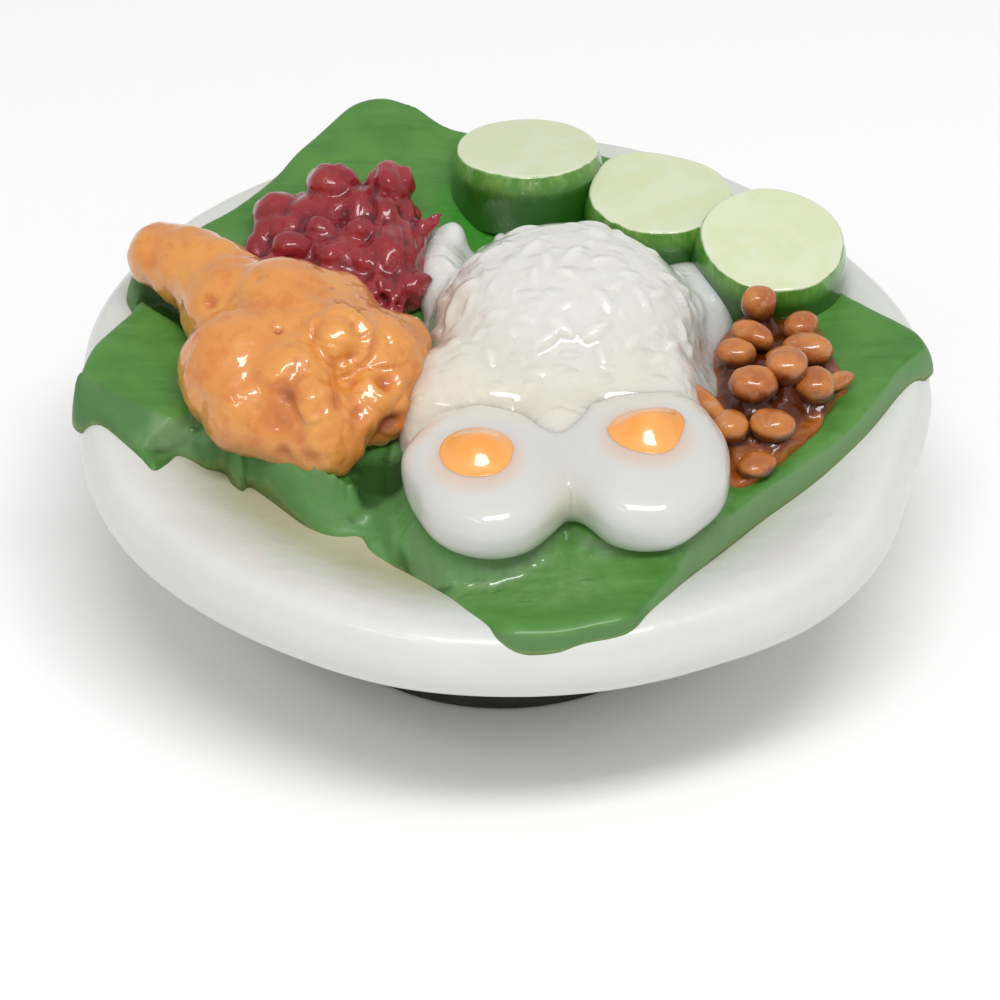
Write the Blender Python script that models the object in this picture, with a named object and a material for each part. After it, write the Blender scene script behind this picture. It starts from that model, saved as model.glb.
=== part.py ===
# Miniature nasi lemak cast in resin, a fridge magnet: a thick white dish with a
# folded banana leaf, rice, a fried drumstick, sambal, cucumber, two egg halves
# and peanuts, on a round magnet.
# The frame: metres, +Z up, origin at the centre of the magnet's lower face,
# +X to the eater's right, -Y towards the eater. Dimensions below are in millimetres.

import math

import bmesh
import bpy
from mathutils import Matrix, Vector, noise

MM = 0.001
GAP = 0.3                   # clearance between pieces that touch

MAGNET_RADIUS = 15.0
MAGNET_HEIGHT = 5.0
MAGNET_EDGE = 0.6

RIM_Z = 19.0                # height of the dish's rim crest
RIM_RADIUS = 28.0           # crest radius
RIM_REACH = 1.8             # how far the rounded lip stands out past its crest
RIM_DROP = 2.75             # half the height of the rounded lip
DISH_BASE_RADIUS = 17.0
WELL_RADIUS = 19.0
WELL_DEPTH = 2.2
LIP_TURN = 145              # degrees the lip turns from its crest to its underside
DISH_FOOT = 1.6             # how far the wall starts outside the flat base
DISH_SHARES = (             # the hand-made outline: share of the radius at every 15 degrees from +X
    1.035, 1.03, 1.0, 1.0, 1.0, 1.0, 1.0, 1.0, 1.0, 1.012, 1.025, 1.03,
    1.012, 1.023, 1.019, 0.999, 0.988, 0.995, 0.997, 1.007, 1.021, 1.052, 1.045, 1.012,
)

LEAF_TOP = 0.9              # leaf's upper face above the rim crest, in the middle
LEAF_LIFT = 3.0             # further rise towards the back corner
LEAF_LIFT_FROM = (4.0, 6.0)         # where the rise to the back corner begins
LEAF_LIFT_OVER = (12.0, 20.0)       # lengths over which it comes up, to -X and to +Y
LEAF_ENDS = ((-1, 19.0, 8.0, 0.6), (1, 21.0, 8.0, 0.9))     # side, from, over, gain
LEAF_DIPS = (((1.8, -22.8), 4.0, 1.1), ((-15.0, -10.5), 5.0, 0.6))      # centre, radius, depth
LEAF_EDGE_DROP = 0.9        # how far it rolls down at its edge
LEAF_EDGE_SHARE = 0.82      # where that begins, as a share of the way out
LEAF_OVER_RIM = 1.5         # least height of its upper face over the dish
LEAF_THICK = 2.2            # thickness where the leaf hangs past the rim
LEAF_OUTLINE = (            # plan points, counter-clockwise from the right-hand corner
    (30.9, 0.9), (28.9, 4.6), (24.8, 8.6), (22.0, 13.6), (15.6, 20.6), (6.0, 25.2), (-3.1, 25.8),
    (-6.2, 27.6), (-9.4, 28.4), (-12.2, 26.8), (-15.0, 23.4), (-19.0, 17.8), (-22.4, 14.6), (-26.2, 10.6),
    (-27.2, 7.6), (-28.4, 3.4), (-30.4, -2.0), (-29.6, -5.2), (-26.8, -7.8), (-24.6, -10.0), (-21.2, -9.2),
    (-18.4, -10.2), (-16.0, -11.8), (-12.7, -14.8), (-9.9, -15.8), (-8.1, -18.1), (-5.8, -20.2), (-3.9, -22.8),
    (-1.0, -27.2), (1.2, -29.0), (3.9, -29.0), (8.0, -27.8), (10.1, -25.6), (13.8, -20.1), (18.0, -14.6),
    (22.8, -10.1), (28.2, -2.6),
)

RICE_CENTRE = (4.6, 1.2)
RICE_RADIUS = 9.9
RICE_HEIGHT = 8.5
RICE_SKIRT = 0.9            # thickness of the loose rice round the mound
RICE_GRAIN = 0.25           # unevenness of the mound
RICE_APRON = 4.2            # further thickness in front, where it backs up the eggs
RICE_APRON_FROM = (1.0, 16.5)       # the apron begins in front of this Y and left of this X
RICE_APRON_OVER = (6.0, 5.0)
RICE_LOBES = (((-4.3, 12.6), 2.0, 1.9), ((13.6, 6.9), 3.4, 1.5))        # centre, radius, further thickness
RICE_OUTLINE = (            # plan points of the loose rice, counter-clockwise
    (15.6, 1.4), (16.9, 4.6), (15.4, 8.0), (10.4, 10.6), (4.6, 11.6), (-2.0, 14.0),
    (-5.2, 14.2), (-5.4, 9.0), (-6.2, 2.0), (-7.0, -5.0), (-6.4, -9.4), (-2.0, -11.6), (4.4, -13.4),
    (10.0, -11.0), (14.6, -8.4), (15.8, -4.0),
)

SAMBAL_CENTRE = (-11.4, 11.0)
SAMBAL_RADII = (6.9, 7.0)
SAMBAL_HEIGHT = 4.8
SAMBAL_LUMP = 0.5           # depth of its lumps

CHICKEN_BODY = (-13.6, -3.6, 2.4)     # centre of the thick end, height above the rim crest
CHICKEN_RADII = (8.5, 8.1, 6.1)
CHICKEN_KNOB = (-24.2, 7.4, 4.3)      # centre of the bone end
CHICKEN_KNOB_RADIUS = 2.5
CHICKEN_CRUST = 0.5         # depth of the lumps in the batter

CUCUMBER_RADIUS = 5.35
CUCUMBER_THICK = 3.4
CUCUMBER_EDGE = 0.35
CUCUMBERS = (               # centre of the cut face above the rim crest, tilt to +Y and to +X in degrees
    ((1.9, 20.3, 4.8), 12.0, 0.0),
    ((11.6, 15.8, 4.6), 5.0, 0.0),
    ((19.6, 8.8, 5.2), -8.0, 3.0),
)

EGGS = (                    # side, centre, radii in plan, height above the leaf
    ("left", (-1.7, -15.9), (5.2, 6.7), 5.1),
    ("right", (9.9, -14.5), (5.8, 7.2), 5.2),
)
EGG_BELLY = 0.36            # height of the widest girth, as a share of the height
EGG_SQUARE = 2.5            # exponent of the girth's profile: 2 is an ellipse, more is boxier
YOLKS = (                   # side, centre, radii in plan
    ("left", (-1.7, -16.3), (2.5, 2.5)),
    ("right", (10.0, -14.2), (2.6, 2.5)),
)
YOLK_RISE = 0.8             # yolk's crown above the egg white

PEANUT_CENTRE = (19.0, -4.6)
PEANUT_SAUCE = 0.8          # depth of the sauce at the edge of the heap
PEANUT_CORE = 2.0           # depth of the sauce in the middle
PEANUT_SINK = 0.7           # how deep every nut stands in the sauce
PEANUT_OUTLINE = (          # plan points of the heap, counter-clockwise
    (24.4, -3.2), (23.4, 0.4), (22.6, 3.2), (20.0, 4.8), (17.0, 4.6), (15.4, 1.6), (14.2, -2.2),
    (13.6, -5.8), (14.0, -9.8), (14.8, -13.0), (16.3, -13.5), (17.9, -12.4), (20.7, -9.6), (22.6, -7.0),
)
PEANUTS = (                 # centre, crown above the rim crest, half length, half width, turn in degrees
    ((18.4, 3.0), 5.3, 1.35, 1.25, 0),
    ((17.9, -0.1), 4.5, 1.65, 1.05, -32),
    ((16.6, -1.9), 4.3, 1.50, 1.15, -5),
    ((21.4, 1.6), 4.1, 1.30, 1.25, 0),
    ((21.7, -1.1), 4.2, 1.85, 1.35, -8),
    ((20.1, -4.8), 5.7, 1.60, 1.50, 20),
    ((17.7, -6.4), 5.4, 1.80, 1.45, 0),
    ((22.1, -5.2), 4.4, 1.45, 1.40, 0),
    ((19.0, -9.4), 4.1, 1.65, 1.30, -4),
    ((16.0, -9.6), 4.1, 1.25, 1.30, 0),
    ((17.8, -12.1), 2.3, 1.50, 1.10, 20),
)


def smooth(t):
    t = min(1.0, max(0.0, t))
    return t * t * (3 - 2 * t)


def bell(x, y, centre, radius):
    return math.exp(-((x - centre[0]) ** 2 + (y - centre[1]) ** 2) / radius ** 2)


# ---------------------------------------------------------------- plan outlines

def closed_curve(points, steps=8):
    """The points joined by a smooth closed curve."""
    n = len(points)
    curve = []
    for i in range(n):
        a, b, c, d = (Vector(points[(i + k) % n]) for k in (-1, 0, 1, 2))
        for s in range(steps):
            t = s / steps
            curve.append(0.5 * (2 * b + (c - a) * t + (2 * a - 5 * b + 4 * c - d) * t * t
                                + (3 * b - a - 3 * c + d) * t ** 3))
    return curve


class Outline:
    """A star-shaped plan outline, read as a radius for each angle about its centre."""

    def __init__(self, points, centre=(0.0, 0.0)):
        self.centre = Vector(centre)
        polar = []
        for p in closed_curve(points):
            d = p - self.centre
            polar.append((math.atan2(d.y, d.x), d.length))
        self.polar = sorted(polar)

    def radius(self, angle):
        angle = math.remainder(angle, 2 * math.pi)
        table = self.polar
        above = next((i for i, (a, r) in enumerate(table) if a > angle), 0)
        a0, r0 = table[above - 1]
        a1, r1 = table[above]
        span = (a1 - a0) % (2 * math.pi)
        return r0 + (r1 - r0) * ((angle - a0) % (2 * math.pi)) / span

    def share(self, x, y):
        """0 at the centre, 1 on the outline."""
        d = Vector((x, y)) - self.centre
        if d.length < 1e-9:
            return 0.0
        return d.length / self.radius(math.atan2(d.y, d.x))


leaf_outline = Outline(LEAF_OUTLINE)
rice_outline = Outline(RICE_OUTLINE, RICE_CENTRE)
peanut_outline = Outline(PEANUT_OUTLINE, PEANUT_CENTRE)


# ---------------------------------------------------------------- upper faces

def dish_share(angle):
    """The dish's radius at this angle, as a share of its mean radius."""
    n = len(DISH_SHARES)
    place = math.degrees(angle) % 360 / (360 / n)
    first = int(place)
    t = smooth(place - first)
    return DISH_SHARES[first % n] * (1 - t) + DISH_SHARES[(first + 1) % n] * t


def dish_top(x, y):
    r = math.hypot(x, y) / dish_share(math.atan2(y, x))
    if r <= RIM_RADIUS:
        return RIM_Z - WELL_DEPTH * (1 - smooth((r - WELL_RADIUS) / (RIM_RADIUS - WELL_RADIUS)))
    out = min(1.0, (r - RIM_RADIUS) / RIM_REACH)
    return RIM_Z - RIM_DROP * (1 - math.sqrt(1 - out * out))


def leaf_top(x, y):
    """The leaf lies level under the food, rises to its back corner and dips before its front one."""
    back = smooth((y - LEAF_LIFT_FROM[1]) / LEAF_LIFT_OVER[1]) * smooth((LEAF_LIFT_FROM[0] - x) / LEAF_LIFT_OVER[0])
    z = RIM_Z + LEAF_TOP + LEAF_LIFT * back
    z += sum(gain * smooth((side * x - start) / over) for side, start, over, gain in LEAF_ENDS)
    z -= sum(depth * bell(x, y, centre, radius) for centre, radius, depth in LEAF_DIPS)
    z -= LEAF_EDGE_DROP * smooth((leaf_outline.share(x, y) - LEAF_EDGE_SHARE) / (1 - LEAF_EDGE_SHARE))
    over = dish_top(x, y) + LEAF_OVER_RIM
    return 0.5 * (z + over + math.sqrt((z - over) ** 2 + 0.25))      # the higher one, blended


def leaf_bottom(x, y):
    """Inside the rim the leaf first reaches into the dish, which then trims it."""
    if math.hypot(x, y) < RIM_RADIUS:
        return min(dish_top(x, y) - 2 * GAP, leaf_top(x, y) - LEAF_THICK)
    return leaf_top(x, y) - LEAF_THICK


def rice_top(x, y):
    d = math.hypot(x - RICE_CENTRE[0], y - RICE_CENTRE[1]) / RICE_RADIUS
    edge = rice_outline.share(x, y)
    apron = RICE_APRON * smooth((RICE_APRON_FROM[0] - y) / RICE_APRON_OVER[0]) \
        * smooth((RICE_APRON_FROM[1] - x) / RICE_APRON_OVER[1])
    lobes = sum(gain * bell(x, y, centre, radius) for centre, radius, gain in RICE_LOBES)
    skirt = (RICE_SKIRT + apron + lobes) * math.sqrt(max(0.0, 1 - edge ** 4))
    mound = RICE_HEIGHT * math.sqrt(max(0.0, 1 - d ** 2.3))
    grain = RICE_GRAIN * noise.noise(Vector((x, y, 0.0)) * 0.9)
    return leaf_top(x, y) + GAP + max(skirt, mound + grain * (d < 1))


def sambal_top(x, y):
    d = math.hypot((x - SAMBAL_CENTRE[0]) / SAMBAL_RADII[0], (y - SAMBAL_CENTRE[1]) / SAMBAL_RADII[1])
    mound = SAMBAL_HEIGHT * math.sqrt(max(0.0, 1 - d ** 2.4))
    lumps = SAMBAL_LUMP * noise.noise(Vector((x, y, 0.0)) * 0.45)
    return leaf_top(x, y) + 2 * GAP + mound + lumps * smooth(mound / 2)


def sauce_top(x, y):
    edge = peanut_outline.share(x, y)
    core = PEANUT_CORE * max(0.0, 1 - (edge / 0.8) ** 2)
    return leaf_top(x, y) + GAP + max(core, PEANUT_SAUCE * math.sqrt(max(0.0, 1 - edge ** 4)))


# ---------------------------------------------------------------- building blocks

def collection(name):
    found = bpy.data.collections.new(name)
    bpy.context.scene.collection.children.link(found)
    return found


def paint(name, colour, roughness, metallic=0.0):
    material = bpy.data.materials.new(name)
    material.use_nodes = True
    shader = material.node_tree.nodes["Principled BSDF"]
    shader.inputs["Base Color"].default_value = (*colour, 1.0)
    shader.inputs["Roughness"].default_value = roughness
    shader.inputs["Metallic"].default_value = metallic
    shader.inputs["Coat Weight"].default_value = 0.0 if metallic else 0.8
    return material


def add_object(name, bm, material, into):
    mesh = bpy.data.meshes.new(name)
    bm.to_mesh(mesh)
    bm.free()
    mesh.materials.append(material)
    obj = bpy.data.objects.new(name, mesh)
    into.objects.link(obj)
    mesh.shade_smooth()
    mesh.set_sharp_from_angle(angle=math.radians(40))
    return obj


def shaped_ball(name, segments, rings, place, material):
    """A ball whose points are moved to place(angle, fall): fall runs from 0 on top to 1 underneath."""
    bm = bmesh.new()
    bmesh.ops.create_uvsphere(bm, u_segments=segments, v_segments=rings, radius=1.0)
    for v in bm.verts:
        angle = math.atan2(v.co.y, v.co.x)
        fall = math.acos(max(-1.0, min(1.0, v.co.z))) / math.pi
        v.co = Vector(place(angle, fall)) * MM
    return add_object(name, bm, material, part)


def slab(name, segments, rings, outline, top, bottom, material, wall=0.16, crowd=1.0):
    """A closed body between two height functions, inside a plan outline.

    wall is the share of the rings that runs down the side; crowd above 1
    gathers the upper rings towards the edge, where a mound is steep.
    """
    reach = (1 - wall) / 2

    def place(angle, fall):
        inward = min(fall, 1 - fall) / reach
        share = 1.0 if inward >= 1 else 1 - (1 - inward) ** crowd
        r = share * outline.radius(angle)
        x = outline.centre.x + r * math.cos(angle)
        y = outline.centre.y + r * math.sin(angle)
        down = min(1.0, max(0.0, (fall - reach) / wall))
        return x, y, top(x, y) * (1 - down) + bottom(x, y) * down

    return shaped_ball(name, segments, rings, place, material)


def cut_clear(piece, *neighbours):
    """Cuts the piece back by GAP from each neighbour."""
    for neighbour in neighbours:
        cutter = bpy.data.objects.new("clear_of_" + neighbour.name, neighbour.data.copy())
        cutter.matrix_world = neighbour.matrix_world
        cutters.objects.link(cutter)
        bm = bmesh.new()
        bm.from_mesh(cutter.data)
        bm.normal_update()
        for v, normal in [(v, v.normal.copy()) for v in bm.verts]:
            v.co += normal * GAP * MM
        bm.to_mesh(cutter.data)
        bm.free()
        cutter.hide_render = True
        cutter.display_type = "WIRE"
        cut = piece.modifiers.new("clear", "BOOLEAN")
        cut.operation = "DIFFERENCE"
        cut.solver = "EXACT"
        cut.object = cutter


# ---------------------------------------------------------------- the pieces

def make_magnet():
    bm = bmesh.new()
    bmesh.ops.create_cone(bm, cap_ends=True, segments=44, radius1=MAGNET_RADIUS * MM,
                          radius2=MAGNET_RADIUS * MM, depth=MAGNET_HEIGHT * MM)
    bmesh.ops.translate(bm, verts=bm.verts, vec=(0, 0, MAGNET_HEIGHT * MM / 2))
    edges = [e for e in bm.edges if len({round(v.co.z, 6) for v in e.verts}) == 1]
    bmesh.ops.bevel(bm, geom=edges, offset=MAGNET_EDGE * MM, segments=1, profile=0.5, affect="EDGES")
    return add_object("magnet", bm, paint("ferrite", (0.025, 0.024, 0.021), 0.45, 0.3), part)


def make_dish():
    """Half a section, from the well's centre over the lip to the middle of the base, spun round."""
    base_z = MAGNET_HEIGHT + GAP
    section = [(0.0, dish_top(0, 0)), (WELL_RADIUS * 0.6, RIM_Z - WELL_DEPTH)]
    for k in range(5):
        r = WELL_RADIUS + (RIM_RADIUS - WELL_RADIUS) * k / 5
        rise = smooth((r - WELL_RADIUS) / (RIM_RADIUS - WELL_RADIUS))
        section.append((r, RIM_Z - WELL_DEPTH * (1 - rise)))
    for k in range(8):
        a = math.radians(90 - LIP_TURN * k / 7)
        section.append((RIM_RADIUS + RIM_REACH * math.cos(a), RIM_Z - RIM_DROP * (1 - math.sin(a))))
    section += [(DISH_BASE_RADIUS + DISH_FOOT, base_z + 1.0), (DISH_BASE_RADIUS + 0.4, base_z + 0.25),
                (DISH_BASE_RADIUS - 0.4, base_z), (0.0, base_z)]
    bm = bmesh.new()
    line = [bm.verts.new((r * MM, 0, z * MM)) for r, z in section]
    edges = [bm.edges.new(pair) for pair in zip(line, line[1:])]
    bmesh.ops.spin(bm, geom=line + edges, cent=(0, 0, 0), axis=(0, 0, 1), dvec=(0, 0, 0),
                   angle=2 * math.pi, steps=48, use_merge=True)
    bmesh.ops.remove_doubles(bm, verts=bm.verts, dist=1e-6)
    for v in bm.verts:
        r = v.co.xy.length / MM
        if r > DISH_BASE_RADIUS:
            # the uneven outline fades out down the wall, so the base stays round
            away = smooth((r - DISH_BASE_RADIUS) / (WELL_RADIUS - DISH_BASE_RADIUS))
            upper = smooth((v.co.z / MM - base_z) / 6)
            share = 1 + (dish_share(math.atan2(v.co.y, v.co.x)) - 1) * away * upper
            v.co.xy *= share
    bmesh.ops.recalc_face_normals(bm, faces=bm.faces)
    return add_object("dish", bm, paint("white_glaze", (0.74, 0.74, 0.72), 0.25), part)


def make_leaf():
    return slab("banana_leaf", 60, 16, leaf_outline, leaf_top, leaf_bottom,
                paint("leaf_green", (0.055, 0.22, 0.045), 0.3), wall=0.13)


def make_rice():
    return slab("rice", 36, 13, rice_outline, rice_top, lambda x, y: leaf_top(x, y) + GAP,
                paint("rice_white", (0.80, 0.79, 0.74), 0.3), wall=0.08)


def make_sambal():
    rim = [(SAMBAL_CENTRE[0] + SAMBAL_RADII[0] * math.cos(a), SAMBAL_CENTRE[1] + SAMBAL_RADII[1] * math.sin(a))
           for a in (2 * math.pi * k / 24 for k in range(24))]
    return slab("sambal", 32, 12, Outline(rim, SAMBAL_CENTRE), sambal_top,
                lambda x, y: leaf_top(x, y) + GAP, paint("sambal_red", (0.22, 0.03, 0.035), 0.25), wall=0.08)


def make_peanuts():
    """The sauce with each nut sunk into it, all in one body."""
    heap = slab("peanuts", 28, 9, peanut_outline, sauce_top, lambda x, y: leaf_top(x, y) - 2 * GAP,
                paint("peanut_brown", (0.32, 0.11, 0.035), 0.25), wall=0.12)
    for number, ((x, y), crown, half_length, half_width, turn) in enumerate(PEANUTS):
        bm = bmesh.new()
        bmesh.ops.create_uvsphere(bm, u_segments=10, v_segments=6, radius=1.0)
        low, high = sauce_top(x, y) - PEANUT_SINK, RIM_Z + crown
        size = Vector((half_length, half_width, (high - low) / 2)) * MM
        place = Matrix.Translation(Vector((x, y, (low + high) / 2)) * MM)
        place @= Matrix.Rotation(math.radians(turn), 4, "Z") @ Matrix.Diagonal(size).to_4x4()
        bmesh.ops.transform(bm, matrix=place, verts=bm.verts)
        mesh = bpy.data.meshes.new(f"nut_{number}")
        bm.to_mesh(mesh)
        bm.free()
        nut = bpy.data.objects.new(mesh.name, mesh)
        cutters.objects.link(nut)
        nut.hide_render = True
        nut.display_type = "WIRE"
        joined = heap.modifiers.new("nut", "BOOLEAN")
        joined.operation = "UNION"
        joined.solver = "EXACT"
        joined.object = nut
    return heap


def make_chicken():
    """A thick lumpy body drawn out to a bone end, flattened underneath where it lies on the leaf."""
    body, knob = Vector(CHICKEN_BODY), Vector(CHICKEN_KNOB)
    axis = (knob - body).normalized()
    side = axis.cross(Vector((0, 0, 1))).normalized()
    turned = Matrix((side, axis.cross(side), axis)).transposed()
    length = (knob - body).length

    def place(angle, fall):
        # fall 0 is the tip of the bone end, 1 the far end of the body
        along = length + CHICKEN_KNOB_RADIUS - fall * (length + CHICKEN_KNOB_RADIUS + CHICKEN_RADII[0])
        in_body = max(0.0, 1 - (along / (CHICKEN_RADII[0] + (2.5 if along > 0 else 0.0))) ** 2)
        neck = 2.3 * smooth((length - along) / 2) + 0.5 * max(0.0, 1 - along / length)
        in_knob = max(0.0, CHICKEN_KNOB_RADIUS ** 2 - (along - length) ** 2) ** 0.5
        swell = in_body ** 0.5
        shank = neck if 0 < along < length else 0.0
        across = max(CHICKEN_RADII[1] * swell, shank, in_knob)
        high = max(CHICKEN_RADII[2] * swell, shank, in_knob)
        p = body + turned @ Vector((across * math.cos(angle), high * math.sin(angle), along))
        p.z += RIM_Z
        p += (p - body - Vector((0, 0, RIM_Z))).normalized() * CHICKEN_CRUST * noise.noise(p * 0.45)
        floor = leaf_top(p.x, p.y) if leaf_outline.share(p.x, p.y) < 1 else dish_top(p.x, p.y)
        p.z = max(p.z, floor - 2 * GAP)
        return p

    return shaped_ball("chicken_drumstick", 32, 20, place, paint("fried_batter", (0.62, 0.30, 0.10), 0.35))


def egg_surface(centre, radii, height, angle, fall):
    """A tall dome with a rounded girth that tucks in at its foot."""
    rise = math.cos(fall * math.pi)
    out = (1 - abs(rise) ** EGG_SQUARE) ** (1 / EGG_SQUARE)
    x = centre[0] + radii[0] * out * math.cos(angle)
    y = centre[1] + radii[1] * out * math.sin(angle)
    foot = leaf_top(*centre) + GAP
    belly = height * EGG_BELLY
    z = foot + belly + rise * (height - belly if rise > 0 else belly)
    return x, y, z


def make_egg_white(side, centre, radii, height):
    def place(angle, fall):
        x, y, z = egg_surface(centre, radii, height, angle, fall)
        return x, y, max(z, leaf_top(x, y) + GAP + 0.05)

    return shaped_ball("egg_white_" + side, 24, 10, place, paint("egg_white_" + side, (0.80, 0.80, 0.78), 0.25))


def make_yolk(egg, side, centre, radii):
    """A shallow lens whose underside follows the crown of its egg white."""
    name, egg_centre, egg_radii, egg_height = egg
    crown = leaf_top(*egg_centre) + GAP + egg_height * EGG_BELLY
    upper = egg_height * (1 - EGG_BELLY)

    def white_top(x, y):
        d = math.hypot((x - egg_centre[0]) / egg_radii[0], (y - egg_centre[1]) / egg_radii[1])
        return crown + upper * (1 - min(1.0, d) ** EGG_SQUARE) ** (1 / EGG_SQUARE)

    def place(angle, fall):
        out = math.sin(fall * math.pi)
        x = centre[0] + radii[0] * out * math.cos(angle)
        y = centre[1] + radii[1] * out * math.sin(angle)
        rise = max(0.0, math.cos(fall * math.pi)) * (YOLK_RISE - GAP)
        return x, y, white_top(x, y) + GAP + 0.05 + rise + (0.12 if fall < 0.55 else 0.0)

    return shaped_ball("egg_yolk_" + side, 18, 6, place, paint("egg_yolk_" + side, (0.85, 0.38, 0.08), 0.25))


def make_cucumber(number, face, tilt_back, tilt_right):
    bm = bmesh.new()
    bmesh.ops.create_cone(bm, cap_ends=True, segments=32, radius1=CUCUMBER_RADIUS * MM,
                          radius2=CUCUMBER_RADIUS * MM, depth=CUCUMBER_THICK * MM)
    bmesh.ops.translate(bm, verts=bm.verts, vec=(0, 0, -CUCUMBER_THICK * MM / 2))
    edges = [e for e in bm.edges if len({round(v.co.z, 6) for v in e.verts}) == 1]
    bmesh.ops.bevel(bm, geom=edges, offset=CUCUMBER_EDGE * MM, segments=1, profile=0.5, affect="EDGES")
    obj = add_object(f"cucumber_slice_{number}", bm, paint(f"cucumber_{number}", (0.66, 0.72, 0.48), 0.25), part)
    obj.location = Vector((face[0], face[1], RIM_Z + face[2])) * MM
    obj.rotation_euler = (math.radians(-tilt_back), math.radians(tilt_right), 0)
    return obj


for old in list(bpy.data.objects):
    bpy.data.objects.remove(old, do_unlink=True)

part = collection("nasi_lemak_magnet")
cutters = collection("cutters")

make_magnet()
dish = make_dish()
leaf = make_leaf()
cut_clear(leaf, dish)
chicken = make_chicken()
cut_clear(chicken, leaf)
whites = [make_egg_white(*egg) for egg in EGGS]
yolks = [make_yolk(egg, *yolk) for egg, yolk in zip(EGGS, YOLKS)]
slices = [make_cucumber(k + 1, *spec) for k, spec in enumerate(CUCUMBERS)]
bpy.context.view_layer.update()
for cucumber in slices:
    cut_clear(cucumber, leaf)
cut_clear(slices[1], slices[0], slices[2])
sambal = make_sambal()
cut_clear(sambal, chicken)
rice = make_rice()
cut_clear(rice, chicken, sambal, *whites, *slices)
peanuts = make_peanuts()
cut_clear(peanuts, slices[2], leaf, whites[1], rice)
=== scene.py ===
# Miniature nasi lemak cast in resin, a fridge magnet: its finished looks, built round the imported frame.
import math
from functools import cached_property

import bpy
import numpy as np
from mathutils import Matrix, Vector, kdtree, noise
from mathutils.geometry import delaunay_2d_cdt


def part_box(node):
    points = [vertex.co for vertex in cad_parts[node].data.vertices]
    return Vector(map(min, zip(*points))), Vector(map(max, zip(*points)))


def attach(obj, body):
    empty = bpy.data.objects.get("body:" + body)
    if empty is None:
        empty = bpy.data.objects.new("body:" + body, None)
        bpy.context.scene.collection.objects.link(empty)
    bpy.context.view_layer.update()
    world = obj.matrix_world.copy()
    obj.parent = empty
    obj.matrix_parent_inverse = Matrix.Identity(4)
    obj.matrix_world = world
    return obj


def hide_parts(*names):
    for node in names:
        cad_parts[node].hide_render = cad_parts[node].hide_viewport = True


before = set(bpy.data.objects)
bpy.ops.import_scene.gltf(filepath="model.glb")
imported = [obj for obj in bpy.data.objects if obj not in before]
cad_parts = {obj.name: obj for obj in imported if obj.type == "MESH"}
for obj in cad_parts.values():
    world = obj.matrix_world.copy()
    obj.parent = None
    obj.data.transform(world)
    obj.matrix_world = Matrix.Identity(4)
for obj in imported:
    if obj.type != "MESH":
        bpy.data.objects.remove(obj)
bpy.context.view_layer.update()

mm = 0.001                    # pieces are shaped in millimetres and brought to metres when they are finished


# the frame's boxes, in millimetres

def boxOf(node):
    low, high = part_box(node)
    return np.array(low) / mm, np.array(high) / mm


def middleOf(node):
    low, high = boxOf(node)
    return (low + high) / 2


rimTop = boxOf("dish")[1][2]
dishFoot = boxOf("dish")[0][2]


# nodes, for materials and for Geometry Nodes alike

class Link:                   # one node's output, so that sums read as sums
    def __init__(self, nodes, socket):
        self.nodes, self.socket = nodes, socket

    def __add__(self, other): return self.nodes.maths("ADD", self, other)
    def __radd__(self, other): return self.nodes.maths("ADD", other, self)
    def __sub__(self, other): return self.nodes.maths("SUBTRACT", self, other)
    def __rsub__(self, other): return self.nodes.maths("SUBTRACT", other, self)
    def __mul__(self, other): return self.nodes.maths("MULTIPLY", self, other)
    def __rmul__(self, other): return self.nodes.maths("MULTIPLY", other, self)
    def __pow__(self, other): return self.nodes.maths("POWER", self, other)
    def __neg__(self): return self.nodes.maths("MULTIPLY", self, -1.0)


class Nodes:
    def __init__(self, tree):
        self.tree = tree

    def plug(self, socket, value):
        if isinstance(value, Link):
            self.tree.links.new(value.socket, socket)
        else:
            socket.default_value = value

    def add(self, kind, settings=None, values=(), out=0):
        node = self.tree.nodes.new(kind)
        for key, value in (settings or {}).items():
            if key == "points":           # a float curve's points
                curve = node.mapping.curves[0]
                for _ in value[2:]:
                    curve.points.new(0.5, 0.5)
                for point, place in zip(curve.points, value):
                    point.location = place
                node.mapping.update()
            else:
                setattr(node, key, value)
        for key, value in values.items() if isinstance(values, dict) else enumerate(values):
            for one in value if isinstance(value, list) else [value]:
                self.plug(node.inputs[key], one)
        return Link(self, node.outputs[out])

    def maths(self, operation, *values):
        return self.add("ShaderNodeMath", {"operation": operation}, values)

    def parts(self, vector):
        outputs = self.add("ShaderNodeSeparateXYZ", values=[vector]).socket.node.outputs
        return [Link(self, outputs[k]) for k in range(3)]


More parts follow.
